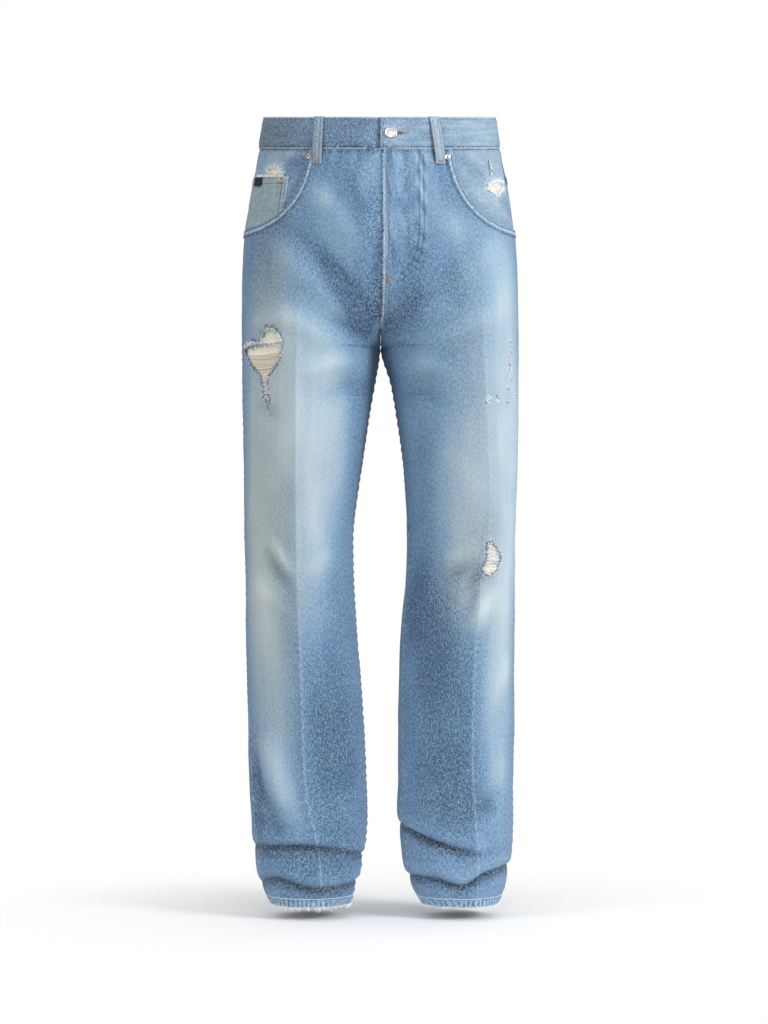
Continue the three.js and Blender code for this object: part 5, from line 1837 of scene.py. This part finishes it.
def on_front(x, height, out):
    """Points of the front at a distance from the middle plane, which is negative at the right."""
    x, height = np.asarray(x, float), np.asarray(height, float)
    out = np.broadcast_to(out, x.shape)
    points = np.empty(x.shape + (3,))
    for on, here in ((LEFT, x >= 0), (RIGHT, x < 0)):
        if here.any():
            share = PANELS[on, FRONT].share_of(np.abs(x[here]), height[here])
            points[here] = off_cloth(on, FRONT, share, height[here], out[here], plain=True)
    return points


mesh, x, height = grid_piece(
    "fly_shield_cloth", merged(stops(-0.006, 0.038, 0.0036), gap=0.001),
    stops(0.018, -0.182, 0.005), lambda u, v: on_front(u, v, -0.0042),
)
set_uv(mesh, x, height)
colours = all_over(x, BLUE)
paint(mesh, colours, x * 0)
sewn(mesh, FRONT, DENIM, "waistband_denim", "fly_shield", "hung", "waistband")

rows = [row_on(LEFT, FRONT, shifted(FLY_FLAT, d), 0.0003) for d in FLY_ROWS]
edge_line = to_along(LEFT, FRONT, [(0.0085, -0.025), (0.0085, -0.10), (0.0085, -0.19), (0.0080, -0.262)])
flat = even_points(edge_line, STITCH_PITCH)
share = PANELS[LEFT, FRONT].share_at(flat[:, 0], flat[:, 1])
points = off_cloth(LEFT, FRONT, share, flat[:, 1], fly_lift(LEFT, share, flat[:, 1]) + 0.0003)
lift = fly_lift(LEFT, share, flat[:, 1]) + 0.0013
rows.append((points, off_cloth(LEFT, FRONT, share, flat[:, 1], lift) - points))
stitch_rows("fly_stitches", "denim", rows)

level = -0.2020 - 0.0007 * np.arange(15)
corners = ((0.0085, 0.0026), (0.0125, 0.0022), (0.0125, 0.0040))
a, b, up = (on_front(np.full(15, x), level, np.full(15, out)) for x, out in corners)
size = np.tile([0.0042, 0.0008], (15, 1))
stitches("fly_tack", "denim", (a + b) / 2, b - a, up - b, size, TAN_THREAD)

# ---- Back pockets ----

POCKET_INNER, POCKET_OUTER, POCKET_TOP = 0.034, 0.148, -0.120
POCKET_SIDE_FOOT, POCKET_POINT, POCKET_TAPER = -0.254, -0.280, 0.009
POCKET_ROWS = (0.0026, 0.0085)  # from the edge to its two rows of stitches
for side in (RIGHT, LEFT):
    panel = PANELS[side, BACK]
    corners = [
        (POCKET_INNER, POCKET_TOP), (POCKET_OUTER, POCKET_TOP),
        (POCKET_OUTER - POCKET_TAPER, POCKET_SIDE_FOOT),
        ((POCKET_INNER + POCKET_OUTER) / 2, POCKET_POINT),
        (POCKET_INNER + POCKET_TAPER, POCKET_SIDE_FOOT),
    ]
    outline = even_points(to_along(side, BACK, corners + corners[:1]), 0.004)[:-1]
    shares = [float(panel.share_of(x, -0.12)[0]) for x in (POCKET_OUTER + 0.01, POCKET_INNER - 0.008)]
    name = f"back_pocket_patch_{SIDE_NAMES[side]}"

    def patch_out(along, height):
        gap = nearest_on(outline, along, height)[2]
        lift = 0.0012 + 0.0006 * smooth(gap / 0.0020) + 0.0010 * smooth((gap - 0.006) / 0.03)
        for at in POCKET_ROWS:
            lift -= 0.0005 * bell(gap - at, 0.0010)
        lift += 0.0007 * wavy(along, height, (0.022, 0.026), 71.0 + side)
        return lift

    mesh, share, height = grid_piece(
        name,
        stops(shares[0], shares[1], 0.020),
        stops(POCKET_TOP, POCKET_POINT - 0.002, 0.0026),
        lambda u, v: off_cloth(side, BACK, u, v, patch_out(panel.along(u, v), v)),
        keep=[outline],
        uv=OnPanel(side, BACK),
    )
    along = panel.along(share, height)
    gap = nearest_on(outline, along, height)[2]
    rub = 0.6 * bell(gap, 0.0022) + 0.18 * bell(gap - 0.0055, 0.0016)
    worn_patch = np.clip(0.5 + wavy(along, height, (0.03, 0.04), 73.0), 0, 1)
    rub += 0.25 * smooth((height + 0.20) / 0.06) * worn_patch
    paint(mesh, wash_and_shade(side, BACK, share, height), rub)
    sewn(mesh, BACK, 0.0012, "denim", f"back_pocket_{SIDE_NAMES[side]}", "laid", f"back_{SIDE_NAMES[side]}")

    rows = []
    middle = (POCKET_INNER + POCKET_OUTER) / 2
    for inset in POCKET_ROWS:
        path = [
            (POCKET_INNER + inset, POCKET_TOP),
            (POCKET_INNER + POCKET_TAPER + inset, POCKET_SIDE_FOOT + inset * 0.6),
            (middle, POCKET_POINT + inset * 1.25),
            (POCKET_OUTER - POCKET_TAPER - inset, POCKET_SIDE_FOOT + inset * 0.6),
            (POCKET_OUTER - inset, POCKET_TOP),
        ]
        rows.append(row_on(side, BACK, to_along(side, BACK, path), 0.0020))
    for drop in (0.0030, 0.0140):
        path = [(POCKET_INNER + 0.002, POCKET_TOP - drop), (POCKET_OUTER - 0.002, POCKET_TOP - drop)]
        rows.append(row_on(side, BACK, to_along(side, BACK, path), 0.0024))
    stitch_rows(f"back_pocket_stitches_{SIDE_NAMES[side]}", "denim", rows)

# ---- Seams ----

for side in (RIGHT, LEFT):
    panel = PANELS[side, BACK]
    rows = []
    share = np.linspace(0.02, 1.98, 60)
    for lift in (0.0012, 0.0075):
        height = yoke_seam(share) + lift - 0.002
        line = flat_line(panel, share, height)
        rows.append(row_on(side, BACK, line, 0.0014))
    height = np.linspace(YOKE_MIDDLE - 0.012, CROTCH + 0.022, 70)
    for offset in (0.0026, 0.0085) if side == LEFT else (0.0026,):
        share = 2 - offset / panel.inner_length(height)
        line = flat_line(panel, share, height)
        rows.append(row_on(side, BACK, line, 0.0))
    stitch_rows(f"back_seam_stitches_{SIDE_NAMES[side]}", "denim", rows)

    panel = PANELS[side, FRONT]
    height = np.linspace(CROTCH - 0.012, HEM + 0.014, 220)
    share = 2 - 0.0030 / panel.inner_length(height)
    line = flat_line(panel, share, height)
    rows = [row_on(side, FRONT, line, 0.0)]
    # At the hips the side seam is stitched down for a short way below the pocket.
    height = np.linspace(-0.150, -0.215, 20)
    share = 0.0030 / panel.crease_length(height)
    line = flat_line(panel, share, height)
    rows.append(row_on(side, FRONT, line, 0.0))
    stitch_rows(f"leg_seam_stitches_{SIDE_NAMES[side]}", "denim", rows)

height = np.linspace(-0.215, CROTCH + 0.012, 30)
rows = []
for side, offset in ((LEFT, 0.0065), (LEFT, 0.0125)):
    panel = PANELS[side, FRONT]
    share = 2 - offset / panel.inner_length(height)
    line = flat_line(panel, share, height)
    lift = fly_lift(side, 2 - offset / 0.11 + np.zeros(2), np.full(2, -0.24)).mean()
    rows.append(row_on(side, FRONT, line, lift * 0.6))
stitch_rows("front_seam_stitches", "denim", rows)

# ---- Hems ----

HEM_DEPTH = 0.012
HEM_RING = 0.1015  # a quarter of the way round a hem
for side in (RIGHT, LEFT):
    rows = []
    for face in (FRONT, BACK):
        share = np.linspace(0.01, 1.99, 120)
        height = HEM + HEM_DEPTH + 0.0008 * wavy(share, share * 0, (0.12, 1), 81.0 + side)
        line = np.column_stack([PANELS[side, face].along(share, height), height])
        rows.append(row_on(side, face, line, 0.0002))
    stitch_rows(f"hem_stitches_{SIDE_NAMES[side]}", "denim", rows, WHITE_THREAD)

    # The turned-up layer inside, as a ring of cloth.
    ring = stops(0, 4, 0.05)

    def ring_place(u, v):
        front = u <= 2
        points = off_cloth(side, FRONT, np.where(front, u, 2.0), v, -0.0030)
        behind = off_cloth(side, BACK, np.where(front, 2.0, 4 - u), v, -0.0030)
        return np.where(front[:, None], points, behind)

    name = f"hem_turn_up_{SIDE_NAMES[side]}"
    mesh, u, v = grid_piece(name, ring, stops(HEM, HEM + HEM_DEPTH, 0.003), ring_place)
    set_uv(mesh, u * HEM_RING, v)
    colours = all_over(u, (140, 160, 182))
    paint(mesh, colours, 0.5 * bell(v - HEM, 0.003))
    bm = bmesh.new()
    bm.from_mesh(mesh)
    bmesh.ops.remove_doubles(bm, verts=bm.verts, dist=1e-5)
    bmesh.ops.recalc_face_normals(bm, faces=bm.faces)
    bm.to_mesh(mesh)
    bm.free()
    hem = new_object(name, mesh, INSIDE, INSIDE)
    thicken(hem, DENIM, 0).offset = 0
    cut_of(finish_piece(hem, "denim", f"hem_{SIDE_NAMES[side]}"), "hung", f"front_{SIDE_NAMES[side]}")

# ---- Threads left in the rips, and frayed edges ----

chance = random.Random(7)
TUFT_LIES = np.array([-0.0001, 0.0005, 0.0006, -0.0001])  # a short thread arched off the cloth


def threads(name, side, runs, radius, material, slot="rip_threads", place=on_flat, face=FRONT):
    """Loose threads as one mesh. Each run is (flat points, distances off the cloth)."""
    flat = np.vstack([line for line, _ in runs])
    lies = np.concatenate([out for _, out in runs])
    points = place(side, face, flat[:, 0], flat[:, 1], lies)
    curve = bpy.data.curves.new(name, "CURVE")
    curve.dimensions = "3D"
    curve.bevel_depth = radius
    curve.bevel_resolution = 1
    curve.resolution_u = 2
    curve.use_fill_caps = True
    start = 0
    for line, _ in runs:
        spline = curve.splines.new("NURBS")
        spline.points.add(len(line) - 1)
        part = np.column_stack([points[start : start + len(line)], np.ones(len(line))])
        spline.points.foreach_set("co", part.astype(np.float32).ravel())
        spline.use_endpoint_u = True
        spline.order_u = 3
        start += len(line)
    holder = bpy.data.objects.new(name + "_curve", curve)
    bpy.context.scene.collection.objects.link(holder)
    made = bpy.data.meshes.new_from_object(holder.evaluated_get(bpy.context.evaluated_depsgraph_get()))
    bpy.data.objects.remove(holder)
    bpy.data.curves.remove(curve)
    made.name = name
    made.materials.clear()
    return finish_piece(new_object(name, made, material), slot)


def crossings(outline, height):
    """Where a level crosses a closed outline, in order."""
    found = []
    for (ax, ay), (bx, by) in zip(outline, np.roll(outline, -1, axis=0)):
        if (ay > height) != (by > height):
            found.append(ax + (bx - ax) * (height - ay) / (by - ay))
    return sorted(found)


def weft_runs(outline, top, foot, pitch, sag, out, jitter=0.0005, shuffle=0.35):
    """Loose weft threads that hang across a rip from edge to edge."""
    runs = []
    height = top
    while height > foot:
        spans = crossings(outline, height)
        for left, right in zip(spans[::2], spans[1::2]):
            wide = right - left
            if wide < 0.002:
                continue
            hang = sag * min(1, wide / 0.04) * (1 + shuffle * chance.uniform(-1, 1))
            depth = out + chance.uniform(-0.0006, 0.0006)
            count = 6
            t = np.linspace(-0.06, 1.06, count)
            drop = hang * 4 * np.clip(t * (1 - t), 0, 1)
            sway = np.array([chance.uniform(-jitter, jitter) for _ in range(count)])
            at = left + wide * t
            lies = np.where((t < 0) | (t > 1), -0.0017, depth + 0.0006 * np.sin(math.pi * np.clip(t, 0, 1)))
            runs.append((np.column_stack([at, height - drop + sway]), lies))
        height -= pitch * chance.uniform(0.7, 1.3)
    return runs


def fringe_runs(outline, spacing, length, out, inwards=True, curl=0.5):
    """Short ends of warp that stick out of a torn edge."""
    runs = []
    edge = even_points(np.vstack([outline, outline[:1]]), spacing)
    ways = np.gradient(edge, axis=0)
    for point, way in zip(edge, ways):
        if chance.random() < 0.25:
            continue
        span = np.linalg.norm(way)
        normal = np.array([-way[1], way[0]]) / span
        probe = point + normal * 0.001
        if not inside_outline(outline, probe[:1], probe[1:])[0]:
            normal = -normal
        if not inwards:
            normal = -normal
        size = length * chance.uniform(0.4, 1.3)
        lean = chance.uniform(-curl, curl)
        tip = point + (normal * math.cos(lean) + np.array([-normal[1], normal[0]]) * math.sin(lean)) * size
        mid = (point + tip) / 2 + np.array([chance.uniform(-1, 1), chance.uniform(-1, 1)]) * size * 0.18
        flat = np.array([point - normal * 0.0012, point, mid, tip])
        lift, droop = chance.uniform(0, 0.0008), chance.uniform(-0.0006, 0.0009)
        runs.append((flat, np.array([-0.0004, 0.0001, out + lift, out * 0.3 + droop])))
    return runs


def tuft_line(middle, turn, reach):
    """A short straight thread across a point."""
    return middle + np.outer(np.linspace(-0.5, 0.5, 4), [math.cos(turn), math.sin(turn)]) * reach


def backing(name, side, outline, out, colours_of, relief_of, stands_for):
    """The pale cloth that shows through a rip."""
    (u0, v0), (u1, v1) = outline.min(axis=0) - 0.007, outline.max(axis=0) + 0.007
    mesh, u, v = grid_piece(
        name,
        stops(u0, u1, 0.0016),
        stops(v1, v0, 0.0016),
        lambda a, h: on_flat(side, FRONT, a, h, out + relief_of(a, h)),
    )
    paint(mesh, colours_of(u, v), u * 0)
    front = f"front_{SIDE_NAMES[side]}"
    return sewn(mesh, FRONT, 0.0008, "rip_threads", stands_for, "hung", front, 0, [BACKING, BACKING])


# The thigh: cream pocket cloth behind, a band of white weft, then tan and white weft below.
thigh = RIPS[RIGHT, FRONT]
(lobe_u, _), (left_u, left_v) = to_along(RIGHT, FRONT, [(0.140, -0.278), (0.1720, -0.2940)])


def thigh_colours(u, v):
    tones = ((238, 230, 220), (226, 228, 206), (232, 220, 198), (66, 62, 64))
    cream, olive, tan, dark = (linear(tone) for tone in tones)
    up = smooth((v + 0.294) / 0.010)[:, None]
    down = smooth((-0.300 - v) / 0.012)[:, None]
    colour = cream * (1 - up) * (1 - down) + olive * up + tan * down
    # painted shadow of a fold in the pocket cloth at the outer lobe
    along_shadow = (u - left_u) * 0.70 - (v - left_v) * 0.71
    across_shadow = (u - left_u) * 0.71 + (v - left_v) * 0.70
    fold_shadow = np.exp(-((across_shadow / 0.0011) ** 2) - ((along_shadow / 0.0050) ** 4))[:, None]
    return colour + (dark - colour) * fold_shadow


def thigh_folds(u, v):
    fold = 0.0006 * wavy(u, v, (0.020, 0.0035), 91.0)
    return fold - 0.0010 * bell(v + 0.300 + (u - lobe_u) * 0.1, 0.006)


backing("thigh_backing", RIGHT, thigh, -0.0026, thigh_colours, thigh_folds, "thigh_rip_threads")
white = []
for k in range(10):
    ends = to_along(RIGHT, FRONT, [(0.1590, -0.2795 - 0.0009 * k), (0.1270, -0.2862 - 0.0009 * k)])
    t = np.linspace(0, 1, 6)
    line = ends[0] + np.outer(t, ends[1] - ends[0])
    line[:, 1] -= 0.0030 * t * (1 - t) + chance.uniform(-0.0003, 0.0003)
    white.append((line, np.where((t == 0) | (t == 1), -0.0017, 0.0003 + 0.0006 * np.sin(math.pi * t))))
white += weft_runs(thigh, -0.3010, -0.3280, 0.0022, 0.0042, 0.0001)
white += weft_runs(thigh, -0.3290, -0.3700, 0.0015, 0.0006, 0.0002, 0.0012)
tan = weft_runs(thigh, -0.2990, -0.3290, 0.0019, 0.0046, -0.0006, 0.0008)
threads("thigh_white_weft", RIGHT, white, 0.00036, WHITE_THREAD)
threads("thigh_tan_weft", RIGHT, tan, 0.00036, ECRU_THREAD)
upper = thigh[thigh[:, 1] > -0.292]
blue = fringe_runs(thigh, 0.0010, 0.0038, 0.0008)
blue += fringe_runs(upper, 0.0009, 0.0046, 0.0014, inwards=False, curl=1.4)
threads("thigh_fringe", RIGHT, blue, 0.00026, BLUE_THREAD)
pale = fringe_runs(upper, 0.0008, 0.0046, 0.0016, curl=1.3)
pale += fringe_runs(thigh, 0.0020, 0.0034, 0.0008, curl=1.2)
pale += fringe_runs(upper, 0.0016, 0.0034, 0.0012, inwards=False, curl=1.3)
dark = fringe_runs(thigh, 0.0024, 0.0028, 0.0010, inwards=False, curl=1.2)
# The ladder goes on below the hole as loosened threads.
for k in range(70):
    foot = (0.1490 + chance.uniform(-0.0030, 0.0030), -0.352 - 0.032 * chance.random())
    turn = chance.uniform(-1.5, 1.5)
    line = tuft_line(to_along(RIGHT, FRONT, [foot])[0], turn, chance.uniform(0.0012, 0.0030))
    (dark if k % 2 else pale).append((line, TUFT_LIES))
threads("thigh_dark_fringe", RIGHT, dark, 0.00026, DARK_THREAD)
threads("thigh_pale_fringe", RIGHT, pale, 0.00028, WHITE_THREAD)

# The knee: dense white weft.
knee = RIPS[LEFT, FRONT]


def knee_colours(u, v):
    colours = np.empty((len(u), 3))
    middle = knee[:, 0].mean()
    inner = smooth((v + 0.566 - (u - middle) * 1.2) / 0.014)[:, None]
    colours[...] = linear((236, 230, 224)) * (1 - inner) + linear((206, 222, 232)) * inner
    bands = 0.5 + 0.5 * np.sin((v + 0.25 * (u - middle)) / 0.0052 * 2 * np.pi)
    # painted shade in the hollow at the rip's lower left
    hollow = np.exp(-(((u - middle + 0.010) / 0.005) ** 2) - (((v + 0.5840) / 0.0050) ** 2))
    colours *= (1 - 0.16 * bands - 0.55 * hollow)[:, None]
    return colours


def knee_folds(u, v):
    return 0.0006 * wavy(u, v, (0.012, 0.003), 95.0)


backing("knee_backing", LEFT, knee, -0.0026, knee_colours, knee_folds, "knee_rip_threads")
white = weft_runs(knee, -0.5535, -0.5880, 0.0015, 0.0012, 0.0000, 0.0009)
white += weft_runs(knee, -0.5850, -0.5955, 0.0005, -0.0010, 0.0016, 0.0011)  # the roll at its foot
threads("knee_white_weft", LEFT, white, 0.00036, WHITE_THREAD)
dark = fringe_runs(knee, 0.0016, 0.0020, 0.0009, inwards=False, curl=1.3)
threads("knee_dark_fringe", LEFT, dark, 0.00030, DARK_THREAD)
blue = fringe_runs(knee, 0.0013, 0.0026, 0.0006)
threads("knee_fringe", LEFT, blue, 0.00024, BLUE_THREAD)
pale = fringe_runs(knee, 0.0022, 0.0036, 0.0012, curl=1.2)
threads("knee_pale_fringe", LEFT, pale, 0.00026, WHITE_THREAD)

for side, tone in ((RIGHT, (236, 226, 200)), (LEFT, (246, 244, 230))):
    rip = POCKET_RIPS[side]
    name = SIDE_NAMES[side]

    def rip_colours(u, v):
        return all_over(u, tone)

    def rip_folds(u, v):
        return 0.0008 * wavy(u, v, (0.006, 0.004), 97.0 + side)

    cover = rip if side == RIGHT else np.vstack([rip, POCKET_SLIT])
    backing(
        f"pocket_rip_backing_{name}", side, cover, -0.0046, rip_colours, rip_folds,
        f"pocket_rip_threads_{name}",
    )
    (u0, v0), (u1, v1) = rip.min(axis=0), rip.max(axis=0)
    white = weft_runs(rip, v1, v0, 0.0009, 0.0006, -0.0024, 0.0007)
    white += fringe_runs(rip, 0.0012, 0.0034, -0.0008, curl=1.2)
    blue = fringe_runs(rip, 0.0020, 0.0026, -0.0010, inwards=False, curl=1.2)
    if side == LEFT:
        white += fringe_runs(rip, 0.0016, 0.0030, -0.0004, inwards=False, curl=1.2)
        white += fringe_runs(POCKET_SLIT, 0.0012, 0.0022, -0.0008, curl=1.2)
        blue += fringe_runs(POCKET_SLIT, 0.0016, 0.0020, -0.0010, inwards=False)
    threads(f"pocket_rip_weft_{name}", side, white, 0.00030, WHITE_THREAD)
    threads(f"pocket_rip_fringe_{name}", side, blue, 0.00024, BLUE_THREAD)

# Tufts on the rubbed spots
white, blue = [], []
for x, z, radius in SPOTS:
    at = to_along(LEFT, FRONT, [(x, z)])[0]
    for k in range(22):
        start = at + np.array([chance.uniform(-1, 1), chance.uniform(-1.4, 1.4)]) * radius * 0.75
        turn = chance.uniform(-0.5, 0.5) + (math.pi / 2 if k % 3 == 0 else 0)
        reach = radius * chance.uniform(0.3, 0.7)
        (blue if k % 3 == 0 else white).append((tuft_line(start, turn, reach), TUFT_LIES))
threads("thigh_spot_weft", LEFT, white, 0.00024, WHITE_THREAD)
threads("thigh_spot_warp", LEFT, blue, 0.00022, DARK_THREAD)


def edge_fray(side, face, shares, height, spacing, length, out):
    """Ends of thread along a straight raw edge."""
    runs = []
    panel = PANELS[side, face]
    wide = float(panel.total_length(height))
    count = int(wide * abs(shares[1] - shares[0]) / 2 / spacing)
    for share in np.linspace(shares[0], shares[1], count):
        if chance.random() < 0.2:
            continue
        thick = 0.35 + 1.3 * abs(wavy(share * 17, 0.0, (1, 1), 99.0 + side))
        size = length * chance.uniform(0.2, 1.1) * thick
        lean = chance.uniform(-0.035, 0.035)
        at = share + np.array([0, 0.2, 0.6, 1]) * lean
        level = np.array([height + 0.0012, height, height - size * 0.6, height - size])
        lies = out + np.array([0, 0, chance.uniform(-0.0006, 0.0012), chance.uniform(-0.0010, 0.0016)])
        runs.append((np.column_stack([np.clip(at, 0, 2), level]), lies))
    return runs


for side in (RIGHT, LEFT):
    for face, where in ((FRONT, "front"), (BACK, "back")):
        white = edge_fray(side, face, (0.02, 1.98), HEM + 0.0010, 0.0005, 0.0050, -0.0004)
        name = f"hem_fray_{SIDE_NAMES[side]}_{where}"
        threads(name, side, white, 0.00024, WHITE_THREAD, place=off_cloth, face=face)


def past_fly(side, face, share, height, out):
    """Points near the front opening's edge, which stands off the right front."""
    return off_cloth(side, face, fly_share(side, share, height), height, fly_lift(side, share, height) + out)


runs = []
for height in np.arange(-0.027, FLY_FOOT, -0.0011):
    reach = chance.uniform(0.004, 0.018)
    drop = chance.uniform(-0.0014, 0.0010)
    share = 2 + reach * np.array([-0.4, 0, 0.6, 1])
    lies = 0.0004 + np.array([0, 0, chance.uniform(-0.0004, 0.0006), chance.uniform(-0.0010, 0.0004)])
    runs.append((np.column_stack([share, height + drop * np.array([0, 0, 0.6, 1])]), lies))
threads("fly_edge_fray", LEFT, runs, 0.00020, WHITE_THREAD, "denim", past_fly)

runs = []
coin_outer, coin_inner = to_along(RIGHT, FRONT, [(0.163, COIN_TOP), (COIN_INNER, COIN_TOP)])[:, 0]
for along in np.arange(coin_outer, coin_inner, 0.0006):
    size = chance.uniform(0.0008, 0.0026)
    lean = chance.uniform(-0.0008, 0.0008)
    level = COIN_TOP + size * np.array([-0.6, 0, 0.6, 1])
    line = np.column_stack([along + lean * np.array([0, 0, 0.5, 1]), level])
    runs.append((line, 0.0016 + np.array([0, 0, 0.0002, chance.uniform(-0.0006, 0.0008)])))
threads("coin_pocket_fray", RIGHT, runs, 0.00020, WHITE_THREAD, "facing_denim")

# The legs' seams are pressed into a rope-like ridge.
RIDGE = 0.0021


def ridge(name, side, edge, top):
    def twist(u, v):
        return np.sin(v / 0.0120 * 2 * np.pi + 2 * wavy(v, v * 0, (0.03, 1), 83.0) + 1.5 * u)

    def place(u, v):
        share = np.full(len(v), edge)
        middle = (surface(side, FRONT, share, v) + surface(side, BACK, share, v)) / 2
        out = facing(side, FRONT, share, v) + facing(side, BACK, share, v)
        out /= np.linalg.norm(out, axis=1, keepdims=True)
        down = surface(side, FRONT, share, v - 0.001) - surface(side, FRONT, share, v + 0.001)
        across = np.cross(out, down)
        across /= np.linalg.norm(across, axis=1, keepdims=True)
        height = 0.0007 - 0.0012 * u * u + 0.00022 * twist(u, v)
        return middle + across * (u * RIDGE)[:, None] + out * height[:, None]

    mesh, u, v = grid_piece(name, stops(-1, 1, 0.34), stops(top, HEM + 0.0005, 0.0024), place)
    set_uv(mesh, u * RIDGE, v)
    rope = 0.5 + 0.5 * twist(u, v)
    colours = wash_and_shade(side, FRONT, np.full(len(v), float(edge)), v) * (0.55 + 0.45 * rope)[:, None]
    paint(mesh, colours, 0.40 * rope * (1 - np.abs(u)))
    face = mesh.polygons[len(mesh.polygons) // 2]
    leg_middle = side * LEGS[side].middle(face.center[2])
    if face.normal[0] * (face.center[0] - leg_middle) < 0:
        mesh.flip_normals()
    made = new_object(name, mesh, OUTSIDE, INSIDE)
    thicken(made, 0.0006)
    return finish_piece(made, "denim")


for side in (RIGHT, LEFT):
    ridge(f"outseam_ridge_{SIDE_NAMES[side]}", side, 0, FACING_FOOT - 0.002)
    ridge(f"inseam_ridge_{SIDE_NAMES[side]}", side, 2, CROTCH - 0.006)

# ---- Camera, light and floor ----

FRAME_TALL = 1.3824  # metres of the object's middle plane that the camera takes in
EYE = Vector((0.0047, -4.0, -0.5117))

camera_data = bpy.data.cameras.new("camera")
camera_data.sensor_width = 36
camera_data.lens = camera_data.sensor_width * -EYE.y / FRAME_TALL
camera = bpy.data.objects.new("camera", camera_data)
camera.location = EYE
camera.rotation_euler = (math.radians(90), 0, 0)
bpy.context.scene.collection.objects.link(camera)
bpy.context.scene.camera = camera
bpy.context.scene.view_settings.view_transform = "Standard"


def mixed_shader(tree, amount, first, second):
    made = tree.nodes.new("ShaderNodeMixShader")
    for socket, value in zip(made.inputs, (amount, first.outputs[0], second.outputs[0])):
        put(tree, socket, value)
    return made.outputs[0]


world = bpy.data.worlds.new("studio")
bpy.context.scene.world = world
world.use_nodes = True
AMBIENT = 0.55
sky = world.node_tree
background = settle(sky, sky.nodes["Background"], Color=(1, 1, 1, 1))
seen = node(sky, "ShaderNodeBackground", Color=(1, 1, 1, 1))
where = node(sky, "ShaderNodeTexCoord").outputs["Generated"]
rise = node(sky, "ShaderNodeSeparateXYZ", Vector=where).outputs["Z"]
low_to_high = {"To_Min": AMBIENT * 0.30, "To_Max": AMBIENT * 1.25}
height = ramp_of(sky, rise, -0.8, 0.6, interpolation_type="SMOOTHSTEP", **low_to_high)
settle(sky, background, Strength=height)
ray = sky.nodes.new("ShaderNodeLightPath").outputs["Is Camera Ray"]
choose = mixed_shader(sky, ray, background, seen)
settle(sky, sky.nodes["World Output"], Surface=choose)


def lamp(name, place, aim, size, power):
    data = bpy.data.lights.new(name, "AREA")
    data.shape = "DISK"
    data.size = size
    data.energy = power
    obj = bpy.data.objects.new(name, data)
    obj.location = place
    obj.rotation_euler = (Vector(aim) - Vector(place)).to_track_quat("-Z", "Y").to_euler()
    bpy.context.scene.collection.objects.link(obj)
    return obj


lamp("key light", (2.6, -1.9, 0.5), (0, 0, -0.5), 1.3, 86)
lamp("fill light", (-2.7, -1.9, 0.2), (0, 0, -0.5), 1.6, 34)
lamp("front light", (0.3, -3.6, 1.0), (0, 0, -0.5), 1.6, 18)

floor_mesh = bpy.data.meshes.new("floor")
bm = bmesh.new()
bmesh.ops.create_circle(bm, cap_ends=True, cap_tris=False, segments=96, radius=9)
bm.to_mesh(floor_mesh)
bm.free()
FLOOR_DROP = 0.012
for vert in floor_mesh.vertices:
    vert.co.z = HEM - 0.006 - FLOOR_DROP
floor = bpy.data.objects.new("floor", floor_mesh)
bpy.context.scene.collection.objects.link(floor)
# The floor fades out round the jeans.
floor_look, look, floor_shader = new_look("pale floor", Base_Color=(0.93, 0.93, 0.93, 1), Roughness=0.95)
where = node(look, "ShaderNodeTexCoord").outputs["Object"]
flat = node(look, "ShaderNodeVectorMath", operation="MULTIPLY")
for socket, value in zip(flat.inputs, (where, (1, 1, 0))):
    put(look, socket, value)
far = node(look, "ShaderNodeVectorMath", operation="LENGTH", Vector=flat.outputs[0])
fade = ramp_of(look, far.outputs["Value"], 0.10, 0.62, interpolation_type="SMOOTHSTEP")
clear = node(look, "ShaderNodeBsdfTransparent")
settle(look, look.nodes["Material Output"], Surface=mixed_shader(look, fade, floor_shader, clear))
floor_mesh.materials.append(floor_look)
